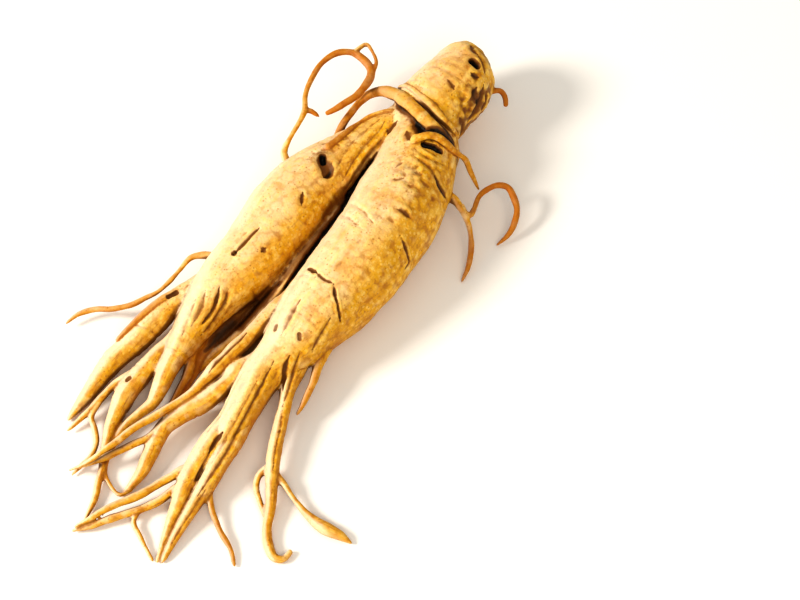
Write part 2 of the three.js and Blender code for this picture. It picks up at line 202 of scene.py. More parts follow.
# The root's routes in millimetres: x, y, height of the middle, radius. They are the solid's own, apart from the
# collar's fold, the shoulder root and the three that fill the gap between the legs.
rootRoutes = {
    "crown": {
        "girth": "stout", "end": "blunt", "points": [
            [6.5, 58, 13.5, 7.5], [5, 66, 14.5, 9.8], [6, 73, 15.5, 12], [7, 79, 16, 12],
            [8.2, 85, 16.5, 11.9], [8.2, 89, 16.8, 11.2], [8.2, 92.3, 17, 10.5], [8.4, 95, 17, 9.4],
            [8.7, 95.9, 17, 8],
        ],
    },
    "rightLeg": {
        "girth": "stout", "end": "pointed", "points": [
            [7, 71, 15, 8.5], [10, 61, 14.3, 11.5], [12.5, 49.5, 14, 13.2], [14.3, 36.5, 14, 14.4],
            [14.5, 21.5, 13.5, 14], [13.5, 8.5, 13, 13.5], [11, -8, 12, 11.5], [9.5, -20.5, 10.5, 8.5],
            [7.5, -29.5, 9.5, 6.5], [8, -42, 8.5, 5.5], [8, -51, 7.5, 4.5],
        ],
    },
    "leftLeg": {
        "girth": "stout", "end": "pointed", "points": [
            [4, 69.5, 15, 8.5], [-0.5, 63.5, 13.5, 7.5], [-5, 54, 13, 8], [-10, 41.5, 12, 10.5],
            [-14.5, 28.5, 11.5, 12], [-15.5, 15.5, 11.5, 12], [-16, 3.5, 11, 11], [-18, -7.5, 10.5, 10],
            [-19.5, -17, 9.5, 8], [-20, -26, 8.5, 6], [-20, -34, 7.5, 4.3],
        ],
    },
    "innerTail": {
        "girth": "middling", "end": "pointed", "points": [
            [8, -42, 8.5, 3], [6.3, -50.5, 7.5, 3.6], [5, -60, 6.5, 3.2], [5, -68.5, 5, 2.8],
            [6.5, -76, 4, 2.2], [8, -84.5, 2.5, 1.4], [10, -93, 1, 0.7],
        ],
    },
    "outerTail": {
        "girth": "middling", "end": "pointed", "points": [
            [9, -40, 8.3, 3.4], [10, -48, 7.5, 3.6], [10.3, -56.5, 6.2, 3.4], [10.8, -66, 5, 2.9],
            [11, -74.5, 4, 2.3], [11, -83.5, 2.5, 1.6], [11.5, -92, 1.1, 0.9],
        ],
    },
    "frontRoot": {
        "girth": "middling", "end": "round", "points": [
            [13.5, -7, 11.5, 6.5], [13.7, -17.5, 10.5, 4.6], [15, -24.5, 9.6, 3.3], [16.2, -30.5, 8.6, 2.5],
            [18, -35, 8, 2.1], [19.2, -39.5, 7, 2.2], [21.3, -45.3, 6, 2.2], [24.2, -52.5, 5, 2.2],
            [27.7, -59, 4, 1.9], [30.5, -64.5, 3, 1.5], [32.5, -69.5, 2.3, 1.4], [35.5, -73.7, 1.8, 1.6],
            [39, -76.2, 1.5, 1.3], [41.5, -75, 1.2, 1], [42, -72.2, 1.2, 0.9],
        ],
    },
    "frontLoop": {
        "girth": "thread", "end": "round", "points": [
            [24.5, -51, 5, 1.3], [22.2, -56.5, 4.2, 1], [23.2, -60.4, 3.4, 0.9], [26.5, -63.8, 2.6, 0.9],
            [31.5, -67.5, 2.3, 1],
        ],
    },
    "frontWorm": {
        "girth": "slim", "end": "pointed", "points": [
            [26, -54.5, 4.6, 1.4], [29.5, -55.6, 4, 1.1], [34.2, -57.7, 3.2, 0.9], [39, -59.7, 2.6, 1.1],
            [43.2, -60.8, 2.4, 1.7], [47.8, -61.1, 2.3, 2], [52, -60.9, 1.8, 1.6], [55, -61, 1.2, 0.7],
        ],
    },
    "frontSlip": {
        "girth": "thread", "end": "pointed", "points": [
            [18, -10.5, 10, 3], [19.9, -19, 9.4, 1.7], [21.4, -24.8, 8.4, 1.2], [21.9, -30.4, 7.2, 1],
            [22, -34.5, 6.2, 0.6],
        ],
    },
    "crossRoot": {
        "girth": "slim", "end": "pointed", "points": [
            [3, -2, 12, 4], [-0.5, -11.7, 11.8, 3], [-2, -19.5, 11.4, 2.7], [-3.8, -28, 11, 2.7],
            [-5.5, -35, 10.5, 2.4], [-6.8, -41.3, 10, 1.8], [-8, -46.5, 9.6, 1.4], [-10.8, -53, 9.2, 1.2],
            [-13.8, -59.3, 8.9, 1.2], [-17, -65.4, 8.6, 1.1], [-18.5, -70, 8.3, 1], [-20.3, -74.6, 8, 0.9],
            [-22, -78, 6.8, 0.8], [-24.6, -81, 5, 0.6], [-27, -83, 3.4, 0.4],
        ],
    },
    "underRoot": {
        "girth": "slim", "end": "pointed", "points": [
            [5, -26, 9.2, 4], [0.5, -32, 8.8, 3.3], [-1, -39, 8.2, 3], [-4, -46.5, 7.2, 3],
            [-7.8, -52.3, 6.2, 3], [-10, -57.6, 5.2, 2.7], [-10, -63.2, 4.2, 2.5], [-9.3, -69, 3.2, 2.1],
            [-8.7, -74.8, 2.3, 1.5], [-9.8, -80, 1.4, 0.7],
        ],
    },
    "underSide": {
        "girth": "thread", "end": "pointed", "points": [
            [-9.5, -55, 5.6, 1.8], [-12, -62.8, 5.5, 1.3], [-15.3, -68.4, 5.4, 1.2], [-18.2, -72.6, 5.2, 1.2],
            [-20.5, -76, 4.8, 1], [-22.8, -78.7, 4, 0.7], [-25.5, -81.2, 2.8, 0.4],
        ],
    },
    "farRoot": {
        "girth": "thread", "end": "pointed", "points": [
            [-22, -2.5, 9.8, 2.4], [-26, -3, 9.7, 1.6], [-30, -3.8, 9.5, 1.2], [-33, -6.4, 9.2, 0.9],
            [-34.2, -11.6, 8.6, 0.8], [-34.8, -16.4, 8, 0.8], [-36.2, -21, 7.4, 0.8], [-38.4, -24.6, 6.8, 0.9],
            [-41.5, -28.8, 6.2, 0.9], [-46, -32.6, 5.4, 0.9], [-51, -35, 4.6, 0.9], [-54.3, -38.4, 3.8, 0.8],
            [-56, -42, 2.8, 0.5],
        ],
    },
    "stoutRoot": {
        "girth": "middling", "end": "pointed", "points": [
            [-20.5, -9, 9.8, 5], [-25, -14, 9.4, 4.2], [-27.3, -18.5, 9, 3.7], [-29.4, -23.6, 8.4, 3.5],
            [-31, -30.5, 7.6, 3.8], [-32.4, -37, 6.7, 3.9], [-34.1, -42.7, 5.8, 3.6], [-35.9, -49.4, 4.8, 3.3],
            [-36.3, -56, 3.8, 2.7], [-36.8, -62.4, 2.7, 1.9], [-37.6, -67.6, 1.3, 0.8],
        ],
    },
    "stoutRider": {
        "girth": "thread", "end": "pointed", "points": [
            [-25.5, -13.5, 11.8, 2.2], [-29, -18.3, 11.4, 1.5], [-31.7, -23.6, 11, 1.4], [-33.8, -29, 10.6, 1.4],
            [-35.4, -34.8, 10, 1.2], [-37, -41.5, 9, 0.7],
        ],
    },
    "fanRoot": {
        "girth": "slim", "end": "pointed", "points": [
            [-20.5, -26, 8, 4], [-22.5, -32.5, 7.2, 3], [-24.3, -38.4, 6.6, 2.9], [-25.5, -46, 5.6, 3.3],
            [-26.2, -53.2, 4.7, 3.4], [-25.5, -60.3, 3.8, 2.8], [-23.6, -67.6, 3, 1.8], [-21.4, -73.6, 2.5, 1.3],
            [-18.8, -79.4, 2.1, 1.2], [-16.8, -84.5, 1.8, 1.2], [-15.5, -89.5, 1.5, 1], [-15, -93, 1.1, 0.6],
        ],
    },
    "fanLeft": {
        "girth": "thread", "end": "pointed", "points": [
            [-26, -45, 5.8, 2.2], [-29.3, -50.5, 5.3, 1.6], [-31, -54, 4.9, 1.4], [-31.8, -58.3, 4.4, 1.3],
            [-32.6, -63, 3.8, 1.2], [-34, -67.5, 3, 0.9], [-35.3, -71.6, 2, 0.5],
        ],
    },
    "fanCurl": {
        "girth": "thread", "end": "pointed", "points": [
            [-32, -60, 4.2, 1.1], [-31.1, -65.4, 3.5, 0.9], [-28.2, -68.3, 2.9, 0.9], [-25.7, -71.6, 2.3, 0.9],
            [-24.6, -75.7, 1.9, 0.9], [-25.6, -79.5, 1.6, 0.7], [-26.5, -83, 1.2, 0.4],
        ],
    },
    "leftTail": {
        "girth": "slim", "end": "pointed", "points": [
            [-20, -29, 8, 4.5], [-19.5, -41, 6.5, 3.3], [-18.2, -48, 5.4, 2.7], [-17.8, -53, 4.6, 2],
            [-19.4, -57.7, 4, 1.5], [-20.9, -62.5, 3.4, 1.3], [-21, -69, 2.6, 1.1], [-20, -74.5, 2.2, 0.9],
            [-17.9, -78.4, 1.9, 0.7], [-14, -81, 1.6, 0.7], [-10.5, -81.8, 1.5, 0.7], [-8.6, -78.8, 1.5, 0.6],
        ],
    },
    "shadeRoot": {
        "girth": "thread", "end": "pointed", "points": [
            [-17.5, -17, 7, 3], [-16.6, -27.2, 5.6, 1.8], [-16, -33.2, 4.8, 1.5], [-14.1, -40.1, 3.8, 1.4],
            [-13.7, -46.5, 3, 1], [-13.8, -51.5, 2.2, 0.6],
        ],
    },
    "lowRoot": {
        "girth": "thread", "end": "pointed", "points": [
            [5.5, -63, 5.6, 2], [2.4, -67.2, 5.4, 1.5], [0.6, -70.3, 5.2, 1.4], [-2, -75.4, 5, 1.3],
            [-5.2, -81.2, 4.8, 1.3], [-8.8, -86.2, 4.6, 1.2], [-11.4, -90.2, 4.2, 1.1], [-13.4, -93.6, 3.6, 0.9],
            [-15.6, -96.8, 2.8, 0.5],
        ],
    },
    "lowerRoot": {
        "girth": "thread", "end": "pointed", "points": [
            [5.8, -68.5, 4.6, 2], [3, -73.4, 4, 1.4], [0.8, -78.9, 3.4, 1.3], [-3.4, -84.3, 2.8, 1.2],
            [-8.4, -89.9, 2.3, 1.2], [-12.7, -95, 1.8, 1], [-15.8, -98, 1.3, 0.5],
        ],
    },
    "lowerSide": {
        "girth": "thread", "end": "pointed", "points": [
            [-2.8, -83.4, 2.8, 1], [-1.9, -87.2, 2.3, 0.9], [1.5, -89.8, 1.9, 0.8], [5.6, -92.4, 1.5, 0.7],
            [8.5, -94, 1.1, 0.6],
        ],
    },
    "shortRoot": {
        "girth": "thread", "end": "pointed", "points": [
            [10, -66, 4.6, 1.6], [15, -72, 3.4, 1], [19.6, -76.1, 2.6, 0.9], [24.4, -78.8, 1.9, 0.9],
            [27.3, -80.8, 1.4, 0.8], [30, -83.5, 1, 0.6],
        ],
    },
    "collar": {
        "girth": "slim", "end": "round", "points": [
            [5, 66, 4, 1.6], [12, 65.5, 4.8, 2], [17, 65, 8.5, 2.1], [19.2, 64, 13, 2.2],
            [19.2, 63, 17.5, 2.2], [17.8, 62.6, 21.5, 2.3], [15.2, 62.6, 24.2, 2.5], [11.6, 63, 25.7, 2.5],
            [6.5, 64.7, 26, 2.4], [0.7, 67.1, 24.6, 2.4], [-5.6, 70, 21.5, 2.2], [-10.5, 70.8, 18.6, 1.7],
            [-13.8, 68.9, 17, 1.4], [-15.1, 65.5, 16.4, 1.2], [-15.6, 60.7, 16, 1.2], [-15.8, 54.9, 15.4, 1.2],
            [-15.2, 50.5, 14.6, 1.3], [-13.5, 45, 13, 2],
        ],
    },
    "archRoot": {
        "girth": "thread", "end": "pointed", "points": [
            [9, 53.5, 24, 2], [10.3, 54.9, 26.4, 1.5], [11.8, 56.3, 27.5, 1.45], [13.6, 58, 27.8, 1.45],
            [15.6, 59.1, 27.2, 1.4], [18.4, 59.6, 25.2, 1.25], [20.5, 60.4, 22, 1.1], [22.6, 61.6, 19, 1],
            [24.7, 62.3, 16.7, 0.9], [27.3, 60.9, 14, 0.9], [29.3, 60.1, 11.6, 0.8], [30.9, 59.1, 9.6, 0.5],
        ],
    },
    "cleftRoot": {
        "girth": "middling", "end": "pointed", "points": [
            [-0.5, 43, 11, 3], [-1.2, 28, 11, 3.2], [-1.8, 15, 11, 3.4], [-2.8, 3.5, 9.6, 3.7],
            [-4.6, -8, 6, 3.4], [-7.5, -18, 3.8, 2.5], [-10.5, -27, 2.7, 1.9], [-13, -35, 2, 1.3],
        ],
    },
    "hiddenRoot": {
        "girth": "slim", "end": "pointed", "points": [
            [-8.5, 2, 4.4, 3], [-11.2, -8, 3.8, 2.9], [-12.6, -16.5, 3.3, 2.6], [-13.6, -24.5, 2.9, 2.3],
            [-14, -32, 2.4, 1.9], [-13.6, -39, 1.9, 1.5], [-13, -46, 1.4, 1], [-12.8, -51, 1.1, 0.6],
        ],
    },
    "webRoot": {
        "girth": "slim", "end": "pointed", "points": [
            [5, -8, 8, 4], [1.5, -18, 6.4, 3.4], [-0.5, -27, 5.4, 2.6], [-3, -35, 4.4, 1.8],
            [-6, -43, 3.4, 1.2],
        ],
    },
    "collarFold": {
        "girth": "slim", "end": "round", "points": [
            [18, 67.4, 19, 0.8], [16.4, 67, 22.8, 1.1], [12.6, 67.4, 25.4, 1.3], [7.8, 69, 26.4, 1.4],
            [2.2, 71.2, 25.6, 1.4], [-2.8, 73.6, 22.6, 1.2], [-5.8, 74.4, 19.5, 1],
        ],
    },
    "shoulderRoot": {
        "girth": "thread", "end": "round", "points": [
            [-2, 65, 20.2, 1], [-5, 63.8, 19.8, 0.9], [-7.8, 61.2, 19.2, 0.9], [-9.8, 57.5, 19, 0.9],
            [-10.9, 52.5, 20.2, 1], [-11.4, 48.8, 21.2, 1], [-12, 45.5, 21.8, 1.1], [-13.2, 42, 22, 1.3],
        ],
    },
    "highLoop": {
        "girth": "thread", "end": "round", "points": [
            [-17, 35, 10.5, 2.2], [-22.7, 35.7, 11.5, 1.6], [-27, 38.1, 13, 1.1], [-27.8, 43.1, 15, 0.9],
            [-27.7, 48.5, 17, 0.9], [-28, 52.8, 18, 1], [-30.4, 56.8, 19, 0.9], [-31.6, 62.4, 20, 0.9],
            [-31.8, 69.5, 20.5, 1], [-29.2, 75.1, 21, 1], [-25.1, 77.5, 21, 1.1], [-20.6, 76.9, 21, 1.3],
            [-16.4, 74, 21, 1.35], [-15, 69.1, 21.4, 1.3], [-15.3, 64.1, 21.8, 1.25], [-16.8, 59.9, 21.6, 1.1],
            [-18.6, 56.7, 21, 0.95], [-20.7, 54.1, 20, 0.7],
        ],
    },
    "highLoopSide": {
        "girth": "thread", "end": "round", "points": [
            [-25, 77.3, 21, 0.9], [-23.1, 82.3, 21.5, 0.7], [-20.2, 81.2, 21.5, 0.6], [-16.8, 77.8, 21.5, 0.6],
            [-15.4, 74, 21.3, 0.7],
        ],
    },
    "highLoopStub": {
        "girth": "thread", "end": "pointed", "points": [
            [-28, 53, 18, 0.9], [-26.4, 53.8, 17.5, 0.9], [-24.6, 53.8, 17, 0.8],
        ],
    },
    "crownHook": {
        "girth": "thread", "end": "round", "points": [
            [13, 86, 15.5, 2.2], [18.3, 90.8, 14.6, 1.1], [20.2, 92.7, 13.6, 1], [22.3, 92.2, 12.4, 1],
            [23.7, 90.5, 11, 0.9],
        ],
    },
    "rightLoop": {
        "girth": "thread", "end": "pointed", "points": [
            [19, 51.5, 11.5, 2.6], [27.8, 49.9, 12.5, 1.4], [31.4, 48.5, 11.5, 1], [33.7, 48.8, 10.6, 0.9],
            [33.6, 51.7, 10.6, 0.9], [33.1, 55.8, 11, 0.9], [33.9, 59.5, 11.2, 1], [36, 62.6, 11, 1.1],
            [38.8, 64.1, 10, 1.1], [41.8, 62.6, 8.6, 1.1], [44.6, 59.7, 6.6, 1.1], [45.7, 55.9, 4.6, 1],
            [45.3, 52.3, 2.8, 0.8], [43.9, 49.2, 1.3, 0.5],
        ],
    },
    "rightDrop": {
        "girth": "thread", "end": "pointed", "points": [
            [30, 49.5, 12, 1.3], [32.6, 47.8, 10.6, 1], [35.7, 45.5, 8, 0.9], [38.7, 41, 5, 0.9],
            [40.3, 36.3, 2.4, 0.8], [40.6, 32.5, 1.1, 0.5],
        ],
    },
}

# How finely each girth is swept, and how much it bends and swells by itself. Lengths are in millimetres.
girths = {
    "stout": {"spacing": 1.5, "bevelRounds": 9, "bend": 0.0, "swell": 0.012, "swellLength": 11},
    "middling": {"spacing": 0.9, "bevelRounds": 5, "bend": 0.12, "swell": 0.05, "swellLength": 7},
    "slim": {"spacing": 0.7, "bevelRounds": 4, "bend": 0.16, "swell": 0.09, "swellLength": 4.5},
    "thread": {"spacing": 0.5, "bevelRounds": 3, "bend": 0.16, "swell": 0.12, "swellLength": 3.2},
}
endDepths = {"blunt": 0.3, "round": 0.8, "pointed": 2.2}   # in radii
bendLength = 4.5   # millimetres from one small bend to the next


# How far along a walk each of its points lies
def runAlong(walk):
    return np.concatenate(([0], np.cumsum(np.linalg.norm(np.diff(walk[:, :3], axis=0), axis=1))))


# Walks a smooth curve through the given points in even steps
def walkRoute(points, spacing):
    knots = np.array(points, float)
    padded = np.vstack((2 * knots[0] - knots[1], knots, 2 * knots[-1] - knots[-2]))
    chords = np.sqrt(np.linalg.norm(np.diff(padded[:, :3], axis=0), axis=1))
    times = np.concatenate(([0], np.cumsum(chords)))
    pieces = []
    for i in range(1, len(knots)):
        t = np.linspace(times[i], times[i + 1], 24, endpoint=False)[:, None]

        def between(a, b, timeA, timeB):
            return ((timeB - t) * a + (t - timeA) * b) / (timeB - timeA)

        a = between(padded[i - 1], padded[i], times[i - 1], times[i])
        b = between(padded[i], padded[i + 1], times[i], times[i + 1])
        c = between(padded[i + 1], padded[i + 2], times[i + 1], times[i + 2])
        ab = between(a, b, times[i - 1], times[i + 1])
        bc = between(b, c, times[i], times[i + 2])
        pieces.append(between(ab, bc, times[i], times[i + 1]))
    fine = np.vstack(pieces + [knots[-1:]])
    run = runAlong(fine)
    even = np.linspace(0, run[-1], max(4, round(run[-1] / spacing)) + 1)
    return np.column_stack([np.interp(even, run, fine[:, k]) for k in range(4)])


# Small bends and swellings that keep a root from looking drawn
def growUneven(walk, girth, seed):
    run = runAlong(walk)
    along = np.column_stack((run, np.full(len(run), seed * 3.7), np.zeros(len(run))))
    grown = walk.copy()
    for axis in range(3):
        grown[:, axis] += girth["bend"] * softNoise(along, bendLength, seed * 5 + axis)
    grown[:, 3] *= 1 + girth["swell"] * softNoise(along, girth["swellLength"], seed * 5 + 3)
    return grown


# Closes a root's far end with a dome, a blunt scar or a long point
def closeEnd(walk, end):
    last = walk[-1]
    heading = last[:3] - walk[-2, :3]
    heading = heading / np.linalg.norm(heading)
    depth = endDepths[end] * last[3]
    dome = []
    for share in (0.3, 0.55, 0.75, 0.9, 1.0):
        narrowing = math.sqrt(1 - share * share) if end != "pointed" else 1 - share ** 1.4
        dome.append([*(last[:3] + heading * depth * share), max(last[3] * narrowing, 0.05)])
    return np.vstack((walk, dome))


def sweepRoot(name, walk, bevelRounds):
    curve = bpy.data.curves.new(name, "CURVE")
    curve.dimensions = "3D"
    curve.bevel_depth = mm
    curve.bevel_resolution = bevelRounds
    curve.use_fill_caps = True
    spline = curve.splines.new("POLY")
    spline.points.add(len(walk) - 1)
    spline.points.foreach_set("co", np.column_stack((walk[:, :3] * mm, np.ones(len(walk)))).ravel())
    spline.points.foreach_set("radius", walk[:, 3])
    root = bpy.data.objects.new(name, curve)
    bpy.context.collection.objects.link(root)
    return root


def sweepAllRoots():
    sweeps, walks = [], {}
    for seed, (name, route) in enumerate(rootRoutes.items(), start=1):
        girth = girths[route["girth"]]
        walk = growUneven(walkRoute(route["points"], girth["spacing"]), girth, seed)
        walks[name] = walk
        sweeps.append(sweepRoot(name, closeEnd(walk, route["end"]), girth["bevelRounds"]))
    return sweeps, walks


# The voxels' size and the radii between which forks are rounded are in millimetres
fusing = {
    "voxel": 0.36, "evenRounds": 3, "filletRounds": 26, "filletFrom": 1.6, "filletFull": 7.0,
    "triangles": 190000,
}


def fuseRoots(sweeps):
    deselectAll()
    for sweep in sweeps:
        sweep.select_set(True)
    bpy.context.view_layer.objects.active = sweeps[0]
    bpy.ops.object.convert(target="MESH")
    bpy.ops.object.join()
    root = bpy.context.object
    root.name = "ginsengRoot"
    root.data.name = "ginsengRoot"
    modify(root, "REMESH", {"mode": "VOXEL", "voxel_size": fusing["voxel"] * mm})
    modify(root, "SMOOTH", {"iterations": fusing["evenRounds"]})
    return root


# The places of the skin's points in millimetres, and their normals
def readSkin(root):
    places, normals = np.empty(len(root.data.vertices) * 3), np.empty(len(root.data.vertices) * 3)
    root.data.vertices.foreach_get("co", places)
    root.data.vertices.foreach_get("normal", normals)
    return places.reshape(-1, 3) / mm, normals.reshape(-1, 3)


def writePlaces(root, places):
    root.data.vertices.foreach_set("co", (places * mm).ravel())
    root.data.update()


# The middle lines of all roots as rows: place, radius, heading, run, share of the whole run, number of the root
def sampleRoots(walks):
    rows = []
    for number, walk in enumerate(walks.values()):
        run = runAlong(walk)
        heading = np.gradient(walk[:, :3], axis=0)
        heading /= np.linalg.norm(heading, axis=1, keepdims=True)
        rows.append(np.column_stack((walk, heading, run, run / run[-1], np.full(len(walk), number))))
    return np.vstack(rows)


# The sample whose root's skin is nearest to each place, and the distance to that skin. It goes through the places in
# slices across the root and looks only at the samples near a slice.
def nearestSamples(places, samples):
    nearest = np.empty(len(places), int)
    gaps = np.empty(len(places))
    order = np.argsort(places[:, 1])
    reach = samples[:, 3] + 12   # a sample farther off than this is never the nearest
    sliceSize = 4096
    for start in range(0, len(places), sliceSize):
        rows = order[start:start + sliceSize]
        part = places[rows]
        close = np.flatnonzero((samples[:, 1] > part[0, 1] - reach) & (samples[:, 1] < part[-1, 1] + reach))
        middles, radii = samples[close, :3], samples[close, 3]
        squared = (part ** 2).sum(1)[:, None] + (middles ** 2).sum(1) - 2 * part @ middles.T
        toSkin = np.sqrt(np.maximum(squared, 0)) - radii
        best = np.argmin(toSkin, axis=1)
        nearest[rows] = close[best]
        gaps[rows] = toSkin[np.arange(len(rows)), best]
    return nearest, gaps


# For every point of the skin: which root it is on, how far along, its angle from the top, and the radius there
def traceSkin(places, samples):
    nearest, _ = nearestSamples(places, samples)
    found = samples[nearest]
    heading = found[:, 4:7]
    away = places - found[:, :3]
    forward = (away * heading).sum(1)
    away -= heading * forward[:, None]
    top = np.array([0.0, 0.0, 1.0]) - heading * heading[:, 2:3]
    top /= np.maximum(np.linalg.norm(top, axis=1, keepdims=True), 0.05)
    side = np.cross(heading, top)
    angle = np.arctan2((away * side).sum(1), (away * top).sum(1))
    radius = found[:, 3]
    return {
        "root": found[:, 9].astype(int), "radius": radius, "along": found[:, 7] + forward,
        "share": found[:, 8], "angle": angle,
        "around": np.column_stack((np.cos(angle) * radius, np.sin(angle) * radius)),
    }


# Rounds the hollows between stout roots, and leaves thin ones as they are
def filletForks(root, trace):
    group = root.vertex_groups.new(name="stoutSkin")
    weight = softStep(trace["radius"], fusing["filletFrom"], fusing["filletFull"])
    steps = 10
    level = np.round(weight * steps).astype(int)
    for step in range(1, steps + 1):
        group.add(np.flatnonzero(level == step).tolist(), step / steps, "REPLACE")
    modify(root, "SMOOTH", {"iterations": fusing["filletRounds"], "vertex_group": "stoutSkin"})
    root.vertex_groups.remove(root.vertex_groups["stoutSkin"])


# Keeps the one closed skin and drops specks that the voxels leave beyond a thin tip
def dropSpecks(root):
    bpy.ops.object.mode_set(mode="EDIT")
    bpy.ops.mesh.select_all(action="DESELECT")
    bpy.ops.object.mode_set(mode="OBJECT")
    root.data.vertices[int(np.argmax(readSkin(root)[0][:, 2]))].select = True
    bpy.ops.object.mode_set(mode="EDIT")
    bpy.ops.mesh.select_linked()
    bpy.ops.mesh.select_all(action="INVERT")
    bpy.ops.mesh.delete(type="VERT")
    bpy.ops.object.mode_set(mode="OBJECT")


def thinMesh(root):
    root.data.calc_loop_triangles()
    triangles = len(root.data.loop_triangles)
    if triangles > fusing["triangles"]:
        modify(root, "DECIMATE", {"ratio": fusing["triangles"] / triangles})
    deselectAll()
    root.select_set(True)
    bpy.context.view_layer.objects.active = root
    dropSpecks(root)
    bpy.ops.object.shade_smooth()


# The skin's relief

# Bumps of the whole skin: size and height in millimetres, and the radius of a root from which they have that height.
# Thinner roots have less of it, down to the least share.
skinBumps = {
    "lumps": {"size": 15, "height": 0.6, "fullRadius": 10, "least": 0},
    "knobs": {"size": 6.5, "height": 0.3, "fullRadius": 7, "least": 0},
    "pebbles": {"size": 2.4, "height": 0.13, "fullRadius": 4, "least": 0.15},
    "finePebbles": {"size": 1.2, "height": 0.065, "fullRadius": 4, "least": 0.1},
}

# Ribs along a root and rings across it. Size, height and places along Y are in millimetres, and stretch is how short
# the pattern's long way is drawn. Both fade from full down to their share elsewhere.
skinRelief = {
    "ribWidth": 2.8, "ribStretch": 0.07, "ribHeight": 0.42, "ribRadius": 5,
    "ribsFrom": 35, "ribsFull": -25, "ribsElsewhere": 0.25,
    "ringSpacing": 1.8, "ringStretch": 0.13, "ringHeight": 0.07, "ringRadius": 3, "ringLeast": 0.2,
    "ringsFrom": -20, "ringsFull": 70, "ringsElsewhere": 0.35,
    "foldRounds": 5, "foldDepth": 0.3,
}


def addRelief(trace, places, lift):
    look, radius = skinRelief, trace["radius"]
    for name, bump in skinBumps.items():
        share = np.clip(radius / bump["fullRadius"], bump["least"], 1)
        lift += bump["height"] * share * softNoise(places, bump["size"], noiseSeeds[name])

    # Ribs get stronger towards the tails
    ribPlaces = np.column_stack((trace["around"], trace["along"] * look["ribStretch"] + trace["root"] * 9.1))
    ribs = softNoise(ribPlaces, look["ribWidth"], noiseSeeds["ribs"])
    lower = softStep(-places[:, 1], -look["ribsFrom"], -look["ribsFull"])
    ribHeight = look["ribHeight"] * fromLeast(look["ribsElsewhere"], lower)
    lift += ribHeight * np.clip(radius / look["ribRadius"], 0, 1) * ribs

    # Rings are strongest on the crown
    ringPlaces = np.column_stack((trace["around"] * look["ringStretch"], trace["along"] + trace["root"] * 13.7))
    rings = softNoise(ringPlaces, look["ringSpacing"], noiseSeeds["rings"])
    upper = softStep(places[:, 1], look["ringsFrom"], look["ringsFull"])
    ringHeight = look["ringHeight"] * fromLeast(look["ringsElsewhere"], upper)
    lift += ringHeight * np.clip(radius / look["ringRadius"], look["ringLeast"], 1) * rings
    return ribs, rings


# Creases that run part of the way round a root: how many, and where along it, as shares of its length. Depth is in
# millimetres and span in degrees.
creases = {
    "crown": {"count": 10, "from": 0.30, "to": 0.92, "depth": 0.11, "span": 55},
    "rightLeg": {"count": 20, "from": 0.08, "to": 0.74, "depth": 0.09, "span": 42},
    "leftLeg": {"count": 18, "from": 0.14, "to": 0.80, "depth": 0.09, "span": 42},
    "frontRoot": {"count": 12, "from": 0.12, "to": 0.9, "depth": 0.13, "span": 80},
    "stoutRoot": {"count": 11, "from": 0.15, "to": 0.9, "depth": 0.14, "span": 70},
    "fanRoot": {"count": 9, "from": 0.15, "to": 0.7, "depth": 0.13, "span": 70},
    "innerTail": {"count": 8, "from": 0.1, "to": 0.8, "depth": 0.11, "span": 70},
    "outerTail": {"count": 8, "from": 0.1, "to": 0.8, "depth": 0.11, "span": 70},
    "underRoot": {"count": 8, "from": 0.1, "to": 0.8, "depth": 0.12, "span": 70},
}

# How creases vary: span and depth as shares of the list's, width and sway in millimetres, and turns as how often they
# sway. Lip place is in widths, the other lip and soil values are shares of the depth. The soil value darkens the
# groove.
creaseShape = {
    "span": (0.5, 1.5), "depth": (0.5, 1.6), "width": (0.4, 0.75), "sway": (0.3, 1.3), "turns": (1.0, 2.6),
    "fade": 0.6, "fullRadius": 3, "least": 0.3, "lipPlace": 2.1, "lipHeight": 0.35, "soilAndShade": 0.9,
}


def addCreases(trace, names, lift, dark):
    random, shape = np.random.default_rng(7), creaseShape
    for name, plan in creases.items():
        on = np.flatnonzero(trace["root"] == names.index(name))
        if not len(on):
            continue
        along, angle, radius = trace["along"][on], trace["angle"][on], trace["radius"][on]
        length = along.max()
        for _ in range(plan["count"]):
            middle = length * random.uniform(plan["from"], plan["to"])
            centre = random.uniform(-math.pi, math.pi)
            span = math.radians(plan["span"]) * random.uniform(*shape["span"])
            depth = plan["depth"] * random.uniform(*shape["depth"])
            width = random.uniform(*shape["width"])
            sway = random.uniform(*shape["sway"])
            turns = random.uniform(*shape["turns"])
            turned = (angle - centre + math.pi) % (2 * math.pi) - math.pi
            across = along - middle - sway * np.sin(turned * turns + centre)
            thin = np.clip(radius / shape["fullRadius"], shape["least"], 1)
            fade = softStep(1 - np.abs(turned) / span, 0, shape["fade"]) * thin
            groove = np.exp(-(across / width) ** 2) * fade
            lips = np.exp(-((np.abs(across) - shape["lipPlace"] * width) / width) ** 2) * fade
            lift[on] += depth * (shape["lipHeight"] * lips - groove)
            dark[on] += shape["soilAndShade"] * depth * groove
